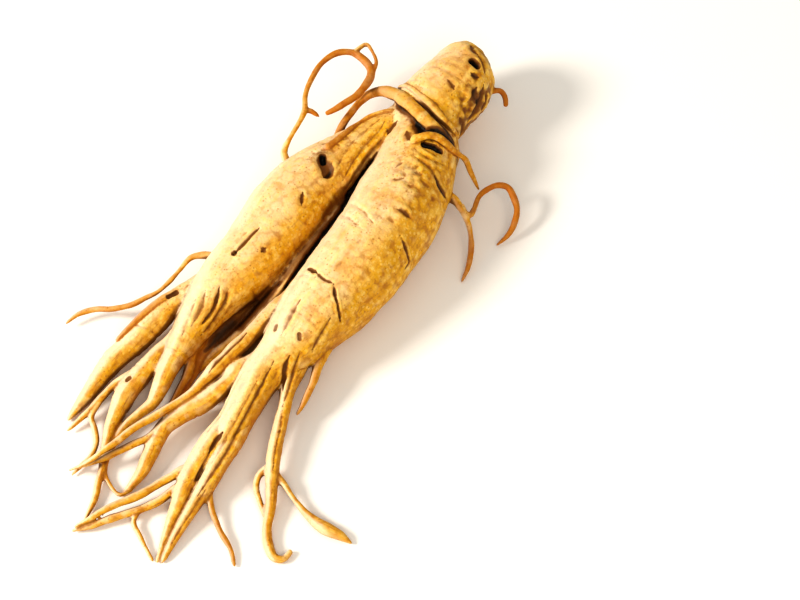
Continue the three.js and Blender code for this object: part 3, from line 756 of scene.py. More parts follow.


# Marks that the photograph shows, in millimetres. Each lies on the skin nearest to its points.
# Width and depth are the groove's, lip is the raised skin beside it, and dark is how dark the groove is painted: soil
# in the cracks, and painted shade in the clefts between the legs, round the collar and in the pockets under the arch.
marks = {
    # The right leg
    "ring crack, edge": {
        "points": [(4, 1.5, 22), (6, 1, 23.5), (8, 0.5, 24.5)],
        "width": 0.6, "depth": 0.6, "lip": 0.2, "dark": 0.7,
    },
    "ring crack, top": {
        "points": [(8, 0.5, 24.5), (10.5, -0.5, 25), (14.5, -0.5, 25)],
        "width": 0.5, "depth": 0.4, "lip": 0.15, "dark": 0.4,
    },
    "ring crack, side": {
        "points": [(14.5, -0.5, 25), (16, -2.5, 24), (17.5, -4, 23), (19.5, -6, 21), (21, -7.5, 18.5)],
        "width": 0.42, "depth": 0.5, "lip": 0.25, "dark": 0.7,
    },
    "arc crack": {
        "points": [(23, 24, 25), (24.5, 23, 23), (26.5, 22, 20.5), (28, 21, 17.5), (27.5, 18.5, 17)],
        "width": 0.42, "depth": 0.4, "lip": 0.25, "dark": 0.6,
    },
    "ridge dash": {
        "points": [(18.5, 30, 27.5), (20.5, 30.5, 26.5), (23, 30.5, 25.5)],
        "width": 0.8, "depth": 0.5, "lip": 0.35, "dark": 0.5,
    },
    "lid to shoulder": {
        "points": [(13.5, 49.5, 27), (16.5, 49, 26.5), (19, 49, 25.5), (21.5, 48, 24.5), (23.5, 47, 23)],
        "width": 0.8, "depth": 0.25, "lip": 0.25, "dark": 0.25,
    },
    "shoulder slit": {
        "points": [(21.5, 48, 24.5), (23.5, 47, 23), (25.5, 46.5, 20), (26.5, 46.5, 17.5)],
        "width": 0.75, "depth": 0.6, "lip": 0.25, "dark": 0.85,
    },
    "lower lid": {
        "points": [(12.5, 52, 27), (15, 51.5, 26.5), (18.5, 52, 25), (21, 53.5, 23)],
        "width": 0.7, "depth": 0.25, "lip": 0.45, "dark": 0.12,
    },
    "blot by the neck": {
        "points": [(6, 57.5, 25), (8, 55.5, 26), (9.5, 54, 27)],
        "width": 1.0, "depth": 0.3, "lip": 0.15, "dark": 0.45,
    },
    "mottle, first": {
        "points": [(10.5, 43, 27.5), (11, 45, 27.5), (11.5, 46, 27.5)],
        "width": 0.8, "depth": 0.22, "lip": 0.35, "dark": 0.15,
    },
    "mottle, second": {
        "points": [(12, 38.5, 28), (13.5, 39, 28), (15, 40.5, 28)],
        "width": 0.8, "depth": 0.22, "lip": 0.35, "dark": 0.15,
    },
    "mottle, third": {
        "points": [(16.5, 44.5, 27.5), (18.5, 45, 26.5)],
        "width": 0.9, "depth": 0.22, "lip": 0.3, "dark": 0.15,
    },
    "mottle, fourth": {
        "points": [(17, 39, 27.5), (18.5, 39.5, 27.5)],
        "width": 0.8, "depth": 0.22, "lip": 0.3, "dark": 0.15,
    },
    "leg streak, left": {
        "points": [(8, -9, 23), (8, -15, 21), (8, -20.5, 19)],
        "width": 0.8, "depth": 0.4, "lip": 0.25, "dark": 0.25,
    },
    "leg streak, right": {
        "points": [(18.5, -9, 21), (18, -14.5, 18.5), (17.5, -18.5, 16)],
        "width": 0.7, "depth": 0.25, "lip": 0.2, "dark": 0.3,
    },
    "wrinkle, left": {
        "points": [(2, 24, 19.5), (8.5, 20.5, 26), (13.5, 18.5, 27)],
        "width": 0.7, "depth": 0.25, "lip": 0.15, "dark": 0.1,
    },
    "wrinkle, right": {
        "points": [(4, 27.5, 22), (10, 24.5, 26.5), (15, 22, 27.5)],
        "width": 0.7, "depth": 0.25, "lip": 0.15, "dark": 0.1,
    },
    # The crown and the neck
    "crown mark": {
        "points": [(8.5, 79, 28), (10, 78.5, 27.5), (11.5, 77.5, 27)],
        "width": 0.8, "depth": 0.25, "lip": 0.2, "dark": 0.4,
    },
    "crown corner": {
        "points": [(7.5, 95, 25), (9, 93.4, 26), (11, 93, 26)],
        "width": 0.9, "depth": 0.4, "lip": 0.2, "dark": 0.5,
    },
    "scar's edge": {
        "points": [(11, 93, 26), (14, 91.5, 25.5), (16.5, 89, 24)],
        "width": 0.8, "depth": 0.4, "lip": 0.3, "dark": 0.35,
    },
    "stem scar's rim": {
        "points": [(14.6, 98, 17.5), (13, 98, 21.5), (9, 98, 23), (5, 98, 21.5), (3.2, 98, 17.5), (4.8, 98, 13),
                   (8.6, 98, 11.4), (12.8, 98, 12.8), (14.4, 98, 16)],
        "width": 0.8, "depth": 0.45, "lip": 0.4, "dark": 0.4,
    },
    "stem scar's middle": {
        "points": [(11, 98, 18), (9, 98, 19.6), (7, 98, 18), (7.4, 98, 15.6), (9.6, 98, 15), (11.2, 98, 16.4)],
        "width": 0.7, "depth": 0.5, "lip": 0.3, "dark": 0.55,
    },
    "crown crescent": {
        "points": [(13.2, 85.6, 27), (14.4, 85.4, 26.5), (15.6, 86.2, 25.6)],
        "width": 0.8, "depth": 0.4, "lip": 0.2, "dark": 0.75,
    },
    "crown side, first": {
        "points": [(16.5, 83, 24.5), (17, 80.5, 23.5), (18.5, 80.5, 20.5)],
        "width": 1.0, "depth": 0.5, "lip": 0.35, "dark": 0.7,
    },
    "crown side, second": {
        "points": [(17.5, 86, 23.5), (18.5, 83, 22), (19, 79, 19), (18.5, 75, 17)],
        "width": 1.0, "depth": 0.5, "lip": 0.35, "dark": 0.65,
    },
    "crown side, third": {
        "points": [(19, 85.5, 21), (20, 83.5, 18), (19.5, 80.5, 15.5)],
        "width": 0.9, "depth": 0.5, "lip": 0.3, "dark": 0.7,
    },
    "crown side, fourth": {
        "points": [(16.5, 72.5, 21.5), (18, 72.5, 18), (17, 71.5, 13.5)],
        "width": 0.8, "depth": 0.4, "lip": 0.25, "dark": 0.5,
    },
    # Painted shade from here to the fork: the grooves round the collar, the pockets and the lines between the legs
    # are darkened as shade
    "groove below the collar": {
        "points": [(-7, 67.2, 19.5), (-3, 66.2, 22), (0.5, 64.6, 23.8), (4, 63.2, 24.8), (7, 61.9, 25.4),
                   (10, 60.6, 25.6)],
        "width": 1.1, "depth": 0.4, "lip": 0.0, "dark": 0.85,
    },
    "groove above the collar": {
        "points": [(2, 68.8, 25.8), (7, 66.6, 26.4), (11.5, 65, 26.6), (15, 64.2, 26), (18, 63.8, 24.5),
                   (20, 63.6, 21.5)],
        "width": 0.8, "depth": 0.4, "lip": 0.0, "dark": 0.85, "spares": ["collarFold"],
    },
    "pocket, left": {
        "points": [(7, 62.5, 26.5), (8.5, 61, 25.5), (11.5, 58, 26)],
        "width": 1.9, "depth": 0.7, "lip": 0.0, "dark": 1.0, "spares": ["archRoot", "collar"],
    },
    "pocket, right": {
        "points": [(11.5, 58, 26), (12.5, 60.5, 26), (14.5, 61.5, 26.5), (17.5, 61.5, 25), (19.5, 62.2, 22.5),
                   (20.5, 62.5, 20)],
        "width": 1.3, "depth": 0.35, "lip": 0.0, "dark": 1.0, "spares": ["archRoot"],
    },
    "crotch line": {
        "points": [(0.5, 56, 19.5), (0, 58.5, 20), (0.5, 61.5, 21.5)],
        "width": 0.8, "depth": 0.5, "lip": 0.0, "dark": 0.5,
    },
    "line between the legs": {
        "points": [(0.4, 50, 16), (-0.9, 41, 15), (-0.7, 28, 14.4), (-0.8, 15.5, 14.3), (-1.2, 4, 13.2),
                   (-2, -5, 11)],
        "width": 0.8, "depth": 1.5, "lip": 0.0, "dark": 1.0,
    },
    "shade between the legs": {
        "points": [(-1, 44, 16), (-2, 36, 15), (-2.4, 28, 15), (-2.6, 15.5, 15), (-3.2, 4, 13.5), (-4.2, -5, 11)],
        "width": 2.0, "depth": 0.0, "lip": 0.0, "dark": 0.3,
    },
    "shade in the fork": {
        "points": [(-4, -2, 11), (-7, -9, 8.5), (-9.5, -16, 6.5), (-12, -23, 5.5), (-13.5, -30, 4.6)],
        "width": 2.3, "depth": 0.0, "lip": 0.0, "dark": 0.8,
    },
    # The left leg
    "left leg dash": {
        "points": [(-11, 23.5, 22.5), (-10, 21.5, 22.5), (-9, 20, 22)],
        "width": 0.65, "depth": 0.4, "lip": 0.25, "dark": 0.55,
    },
    "left leg scratch": {
        "points": [(-16, 6.5, 22.5), (-17, 2.5, 22), (-17.5, -1, 21.5), (-18.5, -4.5, 21)],
        "width": 0.55, "depth": 0.5, "lip": 0.25, "dark": 0.5,
    },
    "scratch's end": {
        "points": [(-18.0, -3.2, 21), (-18.8, -5.2, 21)],
        "width": 0.8, "depth": 0.5, "lip": 0.15, "dark": 0.75,
    },
    "left leg dimple": {
        "points": [(-11, 2.2, 20.5), (-11.5, 0.6, 20.5)],
        "width": 1.1, "depth": 0.4, "lip": 0.2, "dark": 0.4,
    },
    "knot hole's edge": {
        "points": [(-9, 37.5, 22.5), (-7.5, 35.5, 22), (-7.5, 33, 21.5), (-8.5, 32, 22)],
        "width": 0.7, "depth": 0.5, "lip": 0.2, "dark": 0.45,
    },
    "left slit": {
        "points": [(-17, -15, 18.5), (-16, -17.5, 17), (-15.5, -21, 15), (-16.5, -26.5, 13)],
        "width": 0.6, "depth": 0.6, "lip": 0.4, "dark": 0.55,
    },
    "left slit's fold": {
        "points": [(-14.5, -14, 17), (-13.6, -18.5, 14.5), (-14, -23.5, 12.5), (-15.5, -29, 11)],
        "width": 0.7, "depth": 0.3, "lip": 0.35, "dark": 0.3,
    },
    "left rib, outer": {
        "points": [(-20, -18, 17.5), (-19, -21, 16), (-18.5, -25, 15), (-18.5, -29, 13.5)],
        "width": 0.7, "depth": 0.25, "lip": 0.25, "dark": 0.25,
    },
    "left rib, edge": {
        "points": [(-21.5, -21.5, 16), (-20.5, -25, 15), (-20, -29, 13.5), (-19.5, -33, 12)],
        "width": 0.7, "depth": 0.25, "lip": 0.25, "dark": 0.2,
    },
    "neck rib, upper": {
        "points": [(-5, 60, 20.5), (-6.5, 54, 21), (-7.5, 48, 21.5), (-7.5, 42.5, 22), (-7, 37, 21.5)],
        "width": 0.8, "depth": 0.22, "lip": 0.15, "dark": 0.12,
    },
    "neck rib, middle": {
        "points": [(-3, 60, 20.5), (-3, 54.5, 20.5), (-4, 48, 20.5), (-4, 41.5, 20.5), (-4, 35.5, 19)],
        "width": 0.8, "depth": 0.25, "lip": 0.18, "dark": 0.2,
    },
    "neck rib, lower": {
        "points": [(-1, 58.5, 20.5), (-1, 52.5, 19.5), (-1.5, 46.5, 19), (-2, 40, 18), (-2, 34.5, 16.5)],
        "width": 0.9, "depth": 0.25, "lip": 0.15, "dark": 0.2,
    },
    # The tails
    "tail slit, upper": {
        "points": [(7.7, -53.5, 11.5), (7.4, -56.5, 10.5), (7.4, -60, 9)],
        "width": 0.65, "depth": 0.8, "lip": 0.3, "dark": 0.65,
    },
    "tail slit, lower": {
        "points": [(7.7, -64, 7.5), (7.7, -66.5, 6.5), (7.7, -69, 6)],
        "width": 0.6, "depth": 0.7, "lip": 0.3, "dark": 0.65,
    },
    "tail slit, between": {
        "points": [(7.5, -59, 9.5), (7.6, -62, 8.6), (7.7, -65, 7.4)],
        "width": 0.5, "depth": 0.3, "lip": 0.2, "dark": 0.25,
    },
    "tail rib, inner": {
        "points": [(8.5, -32.5, 15.5), (9, -39.5, 14), (9.5, -47, 13), (9.5, -54, 11), (9.5, -62, 8.5)],
        "width": 0.6, "depth": 0.2, "lip": 0.2, "dark": 0.2,
    },
    "tail rib, outer": {
        "points": [(10, -27.5, 16.5), (10.5, -35, 14.5), (11, -43, 13), (11.2, -50, 11), (11.5, -57.5, 9),
                   (11.3, -65, 8), (11, -72.5, 6.5)],
        "width": 0.7, "depth": 0.3, "lip": 0.25, "dark": 0.32,
    },
    "tip rib, inner": {
        "points": [(8, -71, 5.5), (8.5, -77.5, 4.5), (9, -83, 3.5), (9.5, -89, 2.5)],
        "width": 0.55, "depth": 0.1, "lip": 0.15, "dark": 0.15,
    },
    "tip rib, outer": {
        "points": [(12, -69.5, 7), (12, -74.5, 6), (11.5, -81, 4.5), (11.5, -87.5, 3)],
        "width": 0.55, "depth": 0.2, "lip": 0.15, "dark": 0.25,
    },
    "tail rib, edge": {
        "points": [(3, -34, 13), (3, -41, 11.5), (3.2, -48, 10.8), (3.5, -55, 10)],
        "width": 0.6, "depth": 0.2, "lip": 0.2, "dark": 0.15,
    },
    "front slit": {
        "points": [(13, -24, 16.5), (13.5, -27.5, 14.5), (14, -29.5, 11), (15.5, -32.5, 10.5)],
        "width": 0.7, "depth": 0.6, "lip": 0.25, "dark": 0.6,
    },
    "front rib, upper": {
        "points": [(15, -21, 17), (15.5, -24.5, 14.5), (16, -28, 11.5), (17, -32, 10.5), (18, -36.5, 9.5)],
        "width": 0.5, "depth": 0.25, "lip": 0.2, "dark": 0.3,
    },
    "front rib, lower": {
        "points": [(18.5, -37.5, 9.5), (21, -43, 8.5), (23, -49, 7.5), (25.5, -54.5, 6.5)],
        "width": 0.45, "depth": 0.25, "lip": 0.15, "dark": 0.25,
    },
    "cross groove": {
        "points": [(-3, -22.5, 13.5), (-3.5, -26.5, 13.5), (-4.5, -30.5, 13), (-5.5, -35, 12.5), (-6, -39, 12)],
        "width": 0.45, "depth": 0.35, "lip": 0.25, "dark": 0.4,
    },
}

# How a mark's edge wanders and frays, in millimetres, and how it tapers. Lip place is in widths.
markEdge = {
    "wander": 0.22, "wanderSize": 1.6, "fray": 0.12, "fraySize": 0.7, "taper": 1.6, "thinnest": 0.25,
    "lipPlace": 2.0,
}
markReach = 6   # no mark or hole reaches farther, in millimetres


# How far each point lies from a line of points, and how far along that line, as a share
def distanceToLine(places, line):
    best = np.full(len(places), np.inf)
    share = np.zeros(len(places))
    spans = np.linalg.norm(np.diff(line, axis=0), axis=1)
    whole = spans.sum()
    run = 0.0
    for start, end, span in zip(line[:-1], line[1:], spans):
        step = (end - start) / span
        t = np.clip((places - start) @ step, 0, span)
        gap = np.linalg.norm(places - start - t[:, None] * step, axis=1)
        closer = gap < best
        best[closer] = gap[closer]
        share[closer] = (run + t[closer]) / whole
        run += span
    return best, share


# A mark's line, walked in small steps and laid on the skin
def layOnSkin(root, points):
    ends = np.array([[*p, 1.0] for p in points], float)
    walk = walkRoute(ends, 1.0)[:, :3] if len(ends) > 2 else np.linspace(ends[0, :3], ends[-1, :3], 4)
    laid = [root.closest_point_on_mesh(Vector(p * mm))[1] for p in walk]
    line = np.array(laid) / mm
    keep = np.concatenate(([True], np.linalg.norm(np.diff(line, axis=0), axis=1) > 0.05))
    return line[keep]


# The points of the skin round a line, without those on roots that the mark passes under
def skinRound(line, places, trace, names, spared):
    near = ((places > line.min(0) - markReach) & (places < line.max(0) + markReach)).all(1)
    for name in spared:
        near &= trace["root"] != names.index(name)
    return np.flatnonzero(near)


def addMarks(root, places, trace, names, lift, dark):
    edge = markEdge
    for mark in marks.values():
        line = layOnSkin(root, mark["points"])
        near = skinRound(line, places, trace, names, mark.get("spares", []))
        gap, share = distanceToLine(places[near], line)
        wander = edge["wander"] * softNoise(places[near], edge["wanderSize"], noiseSeeds["markEdges"])
        gap += wander + edge["fray"] * softNoise(places[near], edge["fraySize"], noiseSeeds["markFray"])
        bulge = np.sin(math.pi * np.clip(share, 0.02, 0.98))
        taper = np.clip(bulge * edge["taper"], edge["thinnest"], 1)
        groove = np.exp(-(np.maximum(gap, 0) / (mark["width"] * taper)) ** 2)
        lips = np.exp(-((gap - edge["lipPlace"] * mark["width"]) / mark["width"]) ** 2)
        lift[near] += mark["lip"] * lips * taper - mark["depth"] * groove
        dark[near] += mark["dark"] * groove


# Holes where a side root broke away: radius, depth and rim in millimetres. Dark paints the inside darker, as soil and
# painted shade.
holes = {
    "knot hole": {
        "points": [(-12, 37, 23), (-10, 35.5, 22.5), (-8.4, 33.8, 22)],
        "radius": 2.1, "depth": 1.0, "rim": 0.28, "dark": 0.4,
    },
    "knot hole's throat": {
        "points": [(-12.7, 38.2, 23), (-11.3, 36.6, 22.7)],
        "radius": 1.15, "depth": 1.4, "rim": 0.0, "dark": 1.0,
    },
    "crown hole": {
        "points": [(11.4, 89.4, 27), (12.9, 89.1, 26.6)],
        "radius": 1.6, "depth": 2.4, "rim": 0.3, "dark": 1.0,
    },
    "hole under the arch": {
        "points": [(13.5, 55.2, 26), (16, 56.2, 25.5), (18.2, 57, 24)],
        "radius": 1.25, "depth": 1.6, "rim": 0.0, "dark": 1.0, "spares": ["archRoot"],
    },
    "shaded nick": {
        "points": [(-29.2, -20.6, 12.4), (-30.6, -23, 12)],
        "radius": 0.85, "depth": 0.6, "rim": 0.0, "dark": 0.62,
    },
    "leg dimple": {
        "points": [(13, -18, 20), (13.6, -19, 19.4)],
        "radius": 0.9, "depth": 0.4, "rim": 0.05, "dark": 0.3,
    },
    "upper dimple": {
        "points": [(4.6, -18.5, 19), (5, -19.4, 18.6)],
        "radius": 0.9, "depth": 0.4, "rim": 0.05, "dark": 0.3,
    },
    "root dimple": {
        "points": [(-27, -50.5, 8), (-27.5, -51.5, 8)],
        "radius": 0.9, "depth": 0.4, "rim": 0.05, "dark": 0.45,
    },
}

# A hole's shape in shares of its radius. The size of what its edge wanders by is in millimetres.
holeShape = {
    "wander": 0.24, "wanderSize": 1.8, "floor": 0.35, "rimPlace": 1.35, "rimWidth": 0.45,
    "soilAndShadeFrom": 0.55, "soilAndShadeTo": 1.1, "rimStain": 0.25,
}


def addHoles(root, places, trace, names, lift, dark, stainAndShade):
    shape = holeShape
    for hole in holes.values():
        line, radius = layOnSkin(root, hole["points"]), hole["radius"]
        near = skinRound(line, places, trace, names, hole.get("spares", []))
        gap, _ = distanceToLine(places[near], line)
        gap += shape["wander"] * radius * softNoise(places[near], shape["wanderSize"], noiseSeeds["holeEdges"])
        inside = 1 - softStep(gap, shape["floor"] * radius, radius)
        rim = np.exp(-((gap - shape["rimPlace"] * radius) / (shape["rimWidth"] * radius)) ** 2)
        lift[near] += hole["rim"] * rim - hole["depth"] * inside
        dark[near] += hole["dark"] * (1 - softStep(gap, shape["soilAndShadeFrom"] * radius, shape["soilAndShadeTo"] * radius))
        stainAndShade[near] += shape["rimStain"] * rim


# Rough places: middle and reach in millimetres, height of the grain, and how stained it is. On the crown's shaded
# side the stain is painted shade as well as mottle.
roughPlaces = {
    "rightShoulder": {"middle": (19, 45, 25), "reach": 13, "height": 0.34, "grain": 1.8, "stainAndShade": 0.22},
    "stemScar": {"middle": (12, 97, 17), "reach": 9, "height": 0.7, "grain": 1.9, "stainAndShade": 0.4},
    "crownsShadedSide": {"middle": (19, 80, 18), "reach": 13, "height": 0.3, "grain": 1.3, "stainAndShade": 0.8},
    "leftShoulder": {"middle": (-14, 36, 21), "reach": 8, "height": 0.3, "grain": 2.2, "stainAndShade": 0.15},
}
roughShare = 0.45   # of the reach is fully rough


def addRoughPlaces(places, lift, stainAndShade):
    for place in roughPlaces.values():
        gap = np.linalg.norm(places - np.array(place["middle"]), axis=1)
        near = 1 - softStep(gap, roughShare * place["reach"], place["reach"])
        bumps = softNoise(places, place["grain"], noiseSeeds["roughPlaces"])
        lift += place["height"] * near * bumps
        stainAndShade += place["stainAndShade"] * near * np.clip(0.6 - bumps, 0, 1)   # most between the bumps


# What the material reads from the skin

# Where the skin's colours lie. Places along Y are in millimetres, facing is a cosine, and the rest are shares.
skinTones = {
    # The key lamp lights the side this points to: the skin is painted palest there, and painted gold as shade away
    # from it
    "litFrom": (-0.86, -0.48, 0.16),          # the skin is palest on this side
    "goldFrom": -0.32, "goldFull": 0.42,          # straw turns to gold away from it
    "goldRounds": 14,                             # how often the golden roots' edges are evened out
    "edgeFrom": 0.4, "edgeFull": 0.85,            # the palest strip faces it
    # On the tails the painted gold shade and the painted lit strip reach further, and their far side gets painted
    # shade in rust
    "tailsFrom": 0, "tailsFull": -45, "tailGold": 0.22, "tailEdge": 0.32,
    "tailShade": 0.48, "tailShadeFrom": 0.2, "tailShadeFull": 0.9,
    # At the neck the painted gold shade reaches further and the painted lit strip is duller
    "neckPlace": 60, "neckReach": 13, "neckGold": 0.45, "neckDull": 0.75,
    # The belly is painted shade: the skin turns browner where it faces down
    "bellyFrom": -0.75, "bellyFull": 0.35, "bellySway": 0.25, "bellySwaySize": 6,
    "rustFrom": 0.1, "rustFull": 0.55,            # rust grows along a thin root, in shares of its length
    "rustyRadius": 1.0, "cleanRadius": 3.4,       # and goes with the radius
    "rustGold": 1.3,                              # rusty skin is golden too
    "fibresFrom": 5, "fibresFull": -35, "leastFibrous": 0.35,
    "coarse": 0.34, "coarseGold": 0.58, "smoothTails": 0.55,
    "ribTone": 0.7, "ringTone": 0.5,              # how much ribs and rings tell in the colour
}

# How rusty the skin of each thin root is: those round the crown are darker than the tails. The hidden root in the
# fork between the legs is darkened this way as painted shade.
rustyRoots = {
    "others": 0.1, "highLoop": 0.75, "highLoopSide": 0.7, "highLoopStub": 0.75, "crownHook": 0.8,
    "rightLoop": 0.75, "rightDrop": 0.65, "archRoot": 0.35, "collar": 0.55, "shoulderRoot": 0.55,
    "farRoot": 0.35, "stoutRider": 0.5, "cleftRoot": 0.0, "hiddenRoot": 0.8, "shadeRoot": 0.5,
    "shortRoot": 0.5, "frontSlip": 0.4,
}

# The least share of gold on roots that have no lit side, such as the ring round the neck. On the web between the legs
# it is painted shade.
goldenRoots = {"collar": 0.75, "collarFold": 0.6, "archRoot": 0.8, "shoulderRoot": 0.6, "webRoot": 0.4}


def writeAttribute(root, name, values, kind="FLOAT"):
    attribute = root.data.attributes.new(name, kind, "POINT")
    attribute.data.foreach_set("vector" if kind == "FLOAT_VECTOR" else "value", values.astype(np.float32).ravel())


# Values of the skin's points, evened out with their neighbours' a few times
def evenOut(root, values, rounds):
    edges = np.empty(len(root.data.edges) * 2, int)
    root.data.edges.foreach_get("vertices", edges)
    first, second = edges.reshape(-1, 2).T
    counts = np.bincount(edges, minlength=len(values))
    for _ in range(rounds):
        total = np.bincount(first, values[second], len(values)) + np.bincount(second, values[first], len(values))
        values = total / counts
    return values


# Writes how much of each colour each point gets, from 0 to 1, and the direction of its fibres. The lit strip, the
# gold side, the belly and the tails' far side follow which way the skin faces, and are painted light and shade.
def layTones(root, names, trace, places, normals, dark, stainAndShade, relief):
    tones, radius = skinTones, trace["radius"]
    tails = softStep(-places[:, 1], -tones["tailsFrom"], -tones["tailsFull"])
    neck = np.exp(-((places[:, 1] - tones["neckPlace"]) / tones["neckReach"]) ** 2)
    facing = normals @ np.array(tones["litFrom"])
    shift = tones["tailGold"] * tails + tones["neckGold"] * neck
    turned = softStep(shift - facing, tones["goldFrom"], tones["goldFull"])
    rustAndShade = np.array([rustyRoots.get(name, rustyRoots["others"]) for name in names])[trace["root"]]
    rustAndShade = rustAndShade * softStep(trace["share"], tones["rustFrom"], tones["rustFull"])
    rustAndShade = rustAndShade * (1 - softStep(radius, tones["rustyRadius"], tones["cleanRadius"]))
    # Painted shade in rust on the tails' side turned away from the key lamp
    farSideShade = softStep(-facing, tones["tailShadeFrom"], tones["tailShadeFull"])
    rustAndShade = np.maximum(rustAndShade, tones["tailShade"] * tails * farSideShade)
    leastGold = np.array([goldenRoots.get(name, 0) for name in names], float)[trace["root"]]
    leastGold = evenOut(root, leastGold, tones["goldRounds"])
    # A painted lit strip where the skin faces the key lamp
    edge = softStep(facing + tones["tailEdge"] * tails, tones["edgeFrom"], tones["edgeFull"])
    sway = tones["bellySway"] * softNoise(places, tones["bellySwaySize"], noiseSeeds["belly"])
    lowTails = softStep(-places[:, 1], -tones["fibresFrom"], -tones["fibresFull"])
    shares = {
        "soilAndShade": dark, "stainAndShade": stainAndShade, "rustAndShade": rustAndShade, "relief": 0.5 + 0.5 * relief,
        # Gold is painted shade on the side turned from the key lamp, and the own colour of the gold and rusty roots
        "goldAndShadedSide": np.maximum(np.maximum(turned, leastGold), tones["rustGold"] * rustAndShade),
        "litStrip": edge * (1 - tones["neckDull"] * neck),
        # Painted shade, browner where the skin faces down
        "belly": 1 - softStep(normals[:, 2] + sway, tones["bellyFrom"], tones["bellyFull"]),
        "fibrous": fromLeast(tones["leastFibrous"], lowTails) * fromLeast(tones["leastFibrous"], turned),
        "coarse": tones["coarse"] + tones["coarseGold"] * turned * (1 - tones["smoothTails"] * tails) + stainAndShade,
    }
    for name, values in shares.items():
        writeAttribute(root, name, np.clip(values, 0, 1))
    grain = np.column_stack((trace["around"], trace["along"] + trace["root"] * 17.3)) * mm
    writeAttribute(root, "grain", grain, "FLOAT_VECTOR")


def growSkin(root, walks):
    names = list(walks)
    samples = sampleRoots(walks)
    filletForks(root, traceSkin(readSkin(root)[0], samples))
    places, normals = readSkin(root)
    trace = traceSkin(places, samples)
    lift, dark, stainAndShade = (np.zeros(len(places)) for _ in range(3))
    ribs, rings = addRelief(trace, places, lift)
    addCreases(trace, names, lift, dark)
    addRoughPlaces(places, lift, stainAndShade)
    addMarks(root, places, trace, names, lift, dark)
    addHoles(root, places, trace, names, lift, dark, stainAndShade)
    relief = skinTones["ribTone"] * ribs + skinTones["ringTone"] * rings
    layTones(root, names, trace, places, normals, dark, stainAndShade, relief)
    grown = places + normals * lift[:, None]
    grown[:, 2] = np.maximum(grown[:, 2], 0)   # the belly stays above the surface
    writePlaces(root, grown)


# How far each point lies below the skin round it, in millimetres. What a plain round root gives is taken off.
def readFolds(root, places, normals, radii):
    evened = np.column_stack([evenOut(root, places[:, axis], skinRelief["foldRounds"]) for axis in range(3)])
    folds = ((evened - places) * normals).sum(1)
    roundness = np.median(folds * radii)
    return folds - roundness / radii


# How far out each point looks for other roots, in millimetres, and how much each distance counts
closeReaches = ((1.6, 0.35), (4.0, 0.4), (8.0, 0.25))
mostClosed = 1.4   # what one distance can add, so that a deep cleft counts more than one root nearby


# How closed in each point is by the roots near it; the skin is painted darker there as shade
def closedIn(places, normals, samples):
    closed = np.zeros(len(places))
    for reach, weight in closeReaches:
        _, gaps = nearestSamples(places + normals * reach, samples)
        closed += weight * np.clip((reach - gaps) / reach, 0, mostClosed)
    return closed


# Folds and closed-in skin, which the skin's colour turns into painted shade, and crests into painted highlight
def shadeFoldsAndHollows(root, walks):
    (places, normals), samples = readSkin(root), sampleRoots(walks)
    nearest, _ = nearestSamples(places, samples)
    folds = readFolds(root, places, normals, np.maximum(samples[nearest, 3], 0.8))
    writeAttribute(root, "fold", np.clip(0.5 + folds / skinRelief["foldDepth"], 0, 1))
    writeAttribute(root, "closedInShade", np.clip(closedIn(places, normals, samples), 0, 1))


# Fresh ginseng skin: thin cork over pale flesh, washed but not peeled. It reads as warm straw gold with ochre
# mottling, rust on the thin roots and dark soil left in the cracks, with a dull waxy sheen. Light and shade are
# painted into it too: a pale strip on the side the key lamp lights, gold shade on the side turned away, browner low
# sides, darker folds and closed-in skin, and black in the clefts, the holes and round the collar.
skinLook = {
    "straw": "F0CC9A", "paleStraw": "F5E0B4", "litEdge": "F7E5CA", "goldAndShadedSide": "E6AE12", "fleck": "F9D478",
    "ochre": "CF9220", "tanDot": "AE6C18", "foldShade": "97560E", "belly": "B06A0E", "rustAndShade": "B4660C",
    "closedInShade": "6A4008", "stainAndShade": "7C460A", "soilAndShadeEdge": "7C4C10", "soilAndShade": "120902",
    "roughness": 0.5, "roughnessDown": 0.08, "roughnessUp": 0.12, "specular": 0.4,
    "subsurface": 0.08, "subsurfaceReach": 1.1,   # flesh lets light in for about a millimetre
    "subsurfaceShares": (1.0, 0.42, 0.14),        # red goes deepest
    "bumpHeight": 0.2, "fibreBump": 0.7, "pebbleBump": 0.5,
}

# Patterns of the skin, with the size of one bump in millimetres. Real fibres, pores and cork grains are 0.2 to 1 mm
# wide, too fine to show in the render, so they are drawn about twice as coarse.
skinPatterns = {
    "patches": {"size": 9.0, "detail": 3.0, "roughness": 0.55},
    "mottle": {"size": 2.2, "detail": 4.0, "roughness": 0.6},
    "fibres": {"size": 0.8, "detail": 3.0, "roughness": 0.6, "stretch": 0.12},
    "dotPatches": {"size": 4.0, "detail": 2.0, "roughness": 0.5},
    "pores": {"size": 0.8, "detail": 4.0, "roughness": 0.65},
}
skinCells = {"pebbles": 1.9, "dots": 1.2}

# Shares that keep layers to a part of the skin. Each goes from least to most as what it follows goes from "from"
# to "to".
skinShares = {
    "strawSkin": {"follows": "goldAndShadedSide", "from": 0.0, "to": 1.0, "least": 1.0, "most": 0.25},
    "dotPlaces": {"follows": "dotPatches", "from": 0.46, "to": 0.58, "least": 0.0, "most": 1.0},
    "pebbleMiddles": {"follows": "pebbles", "from": 0.36, "to": 0.10, "least": 0.0, "most": 0.7},
}

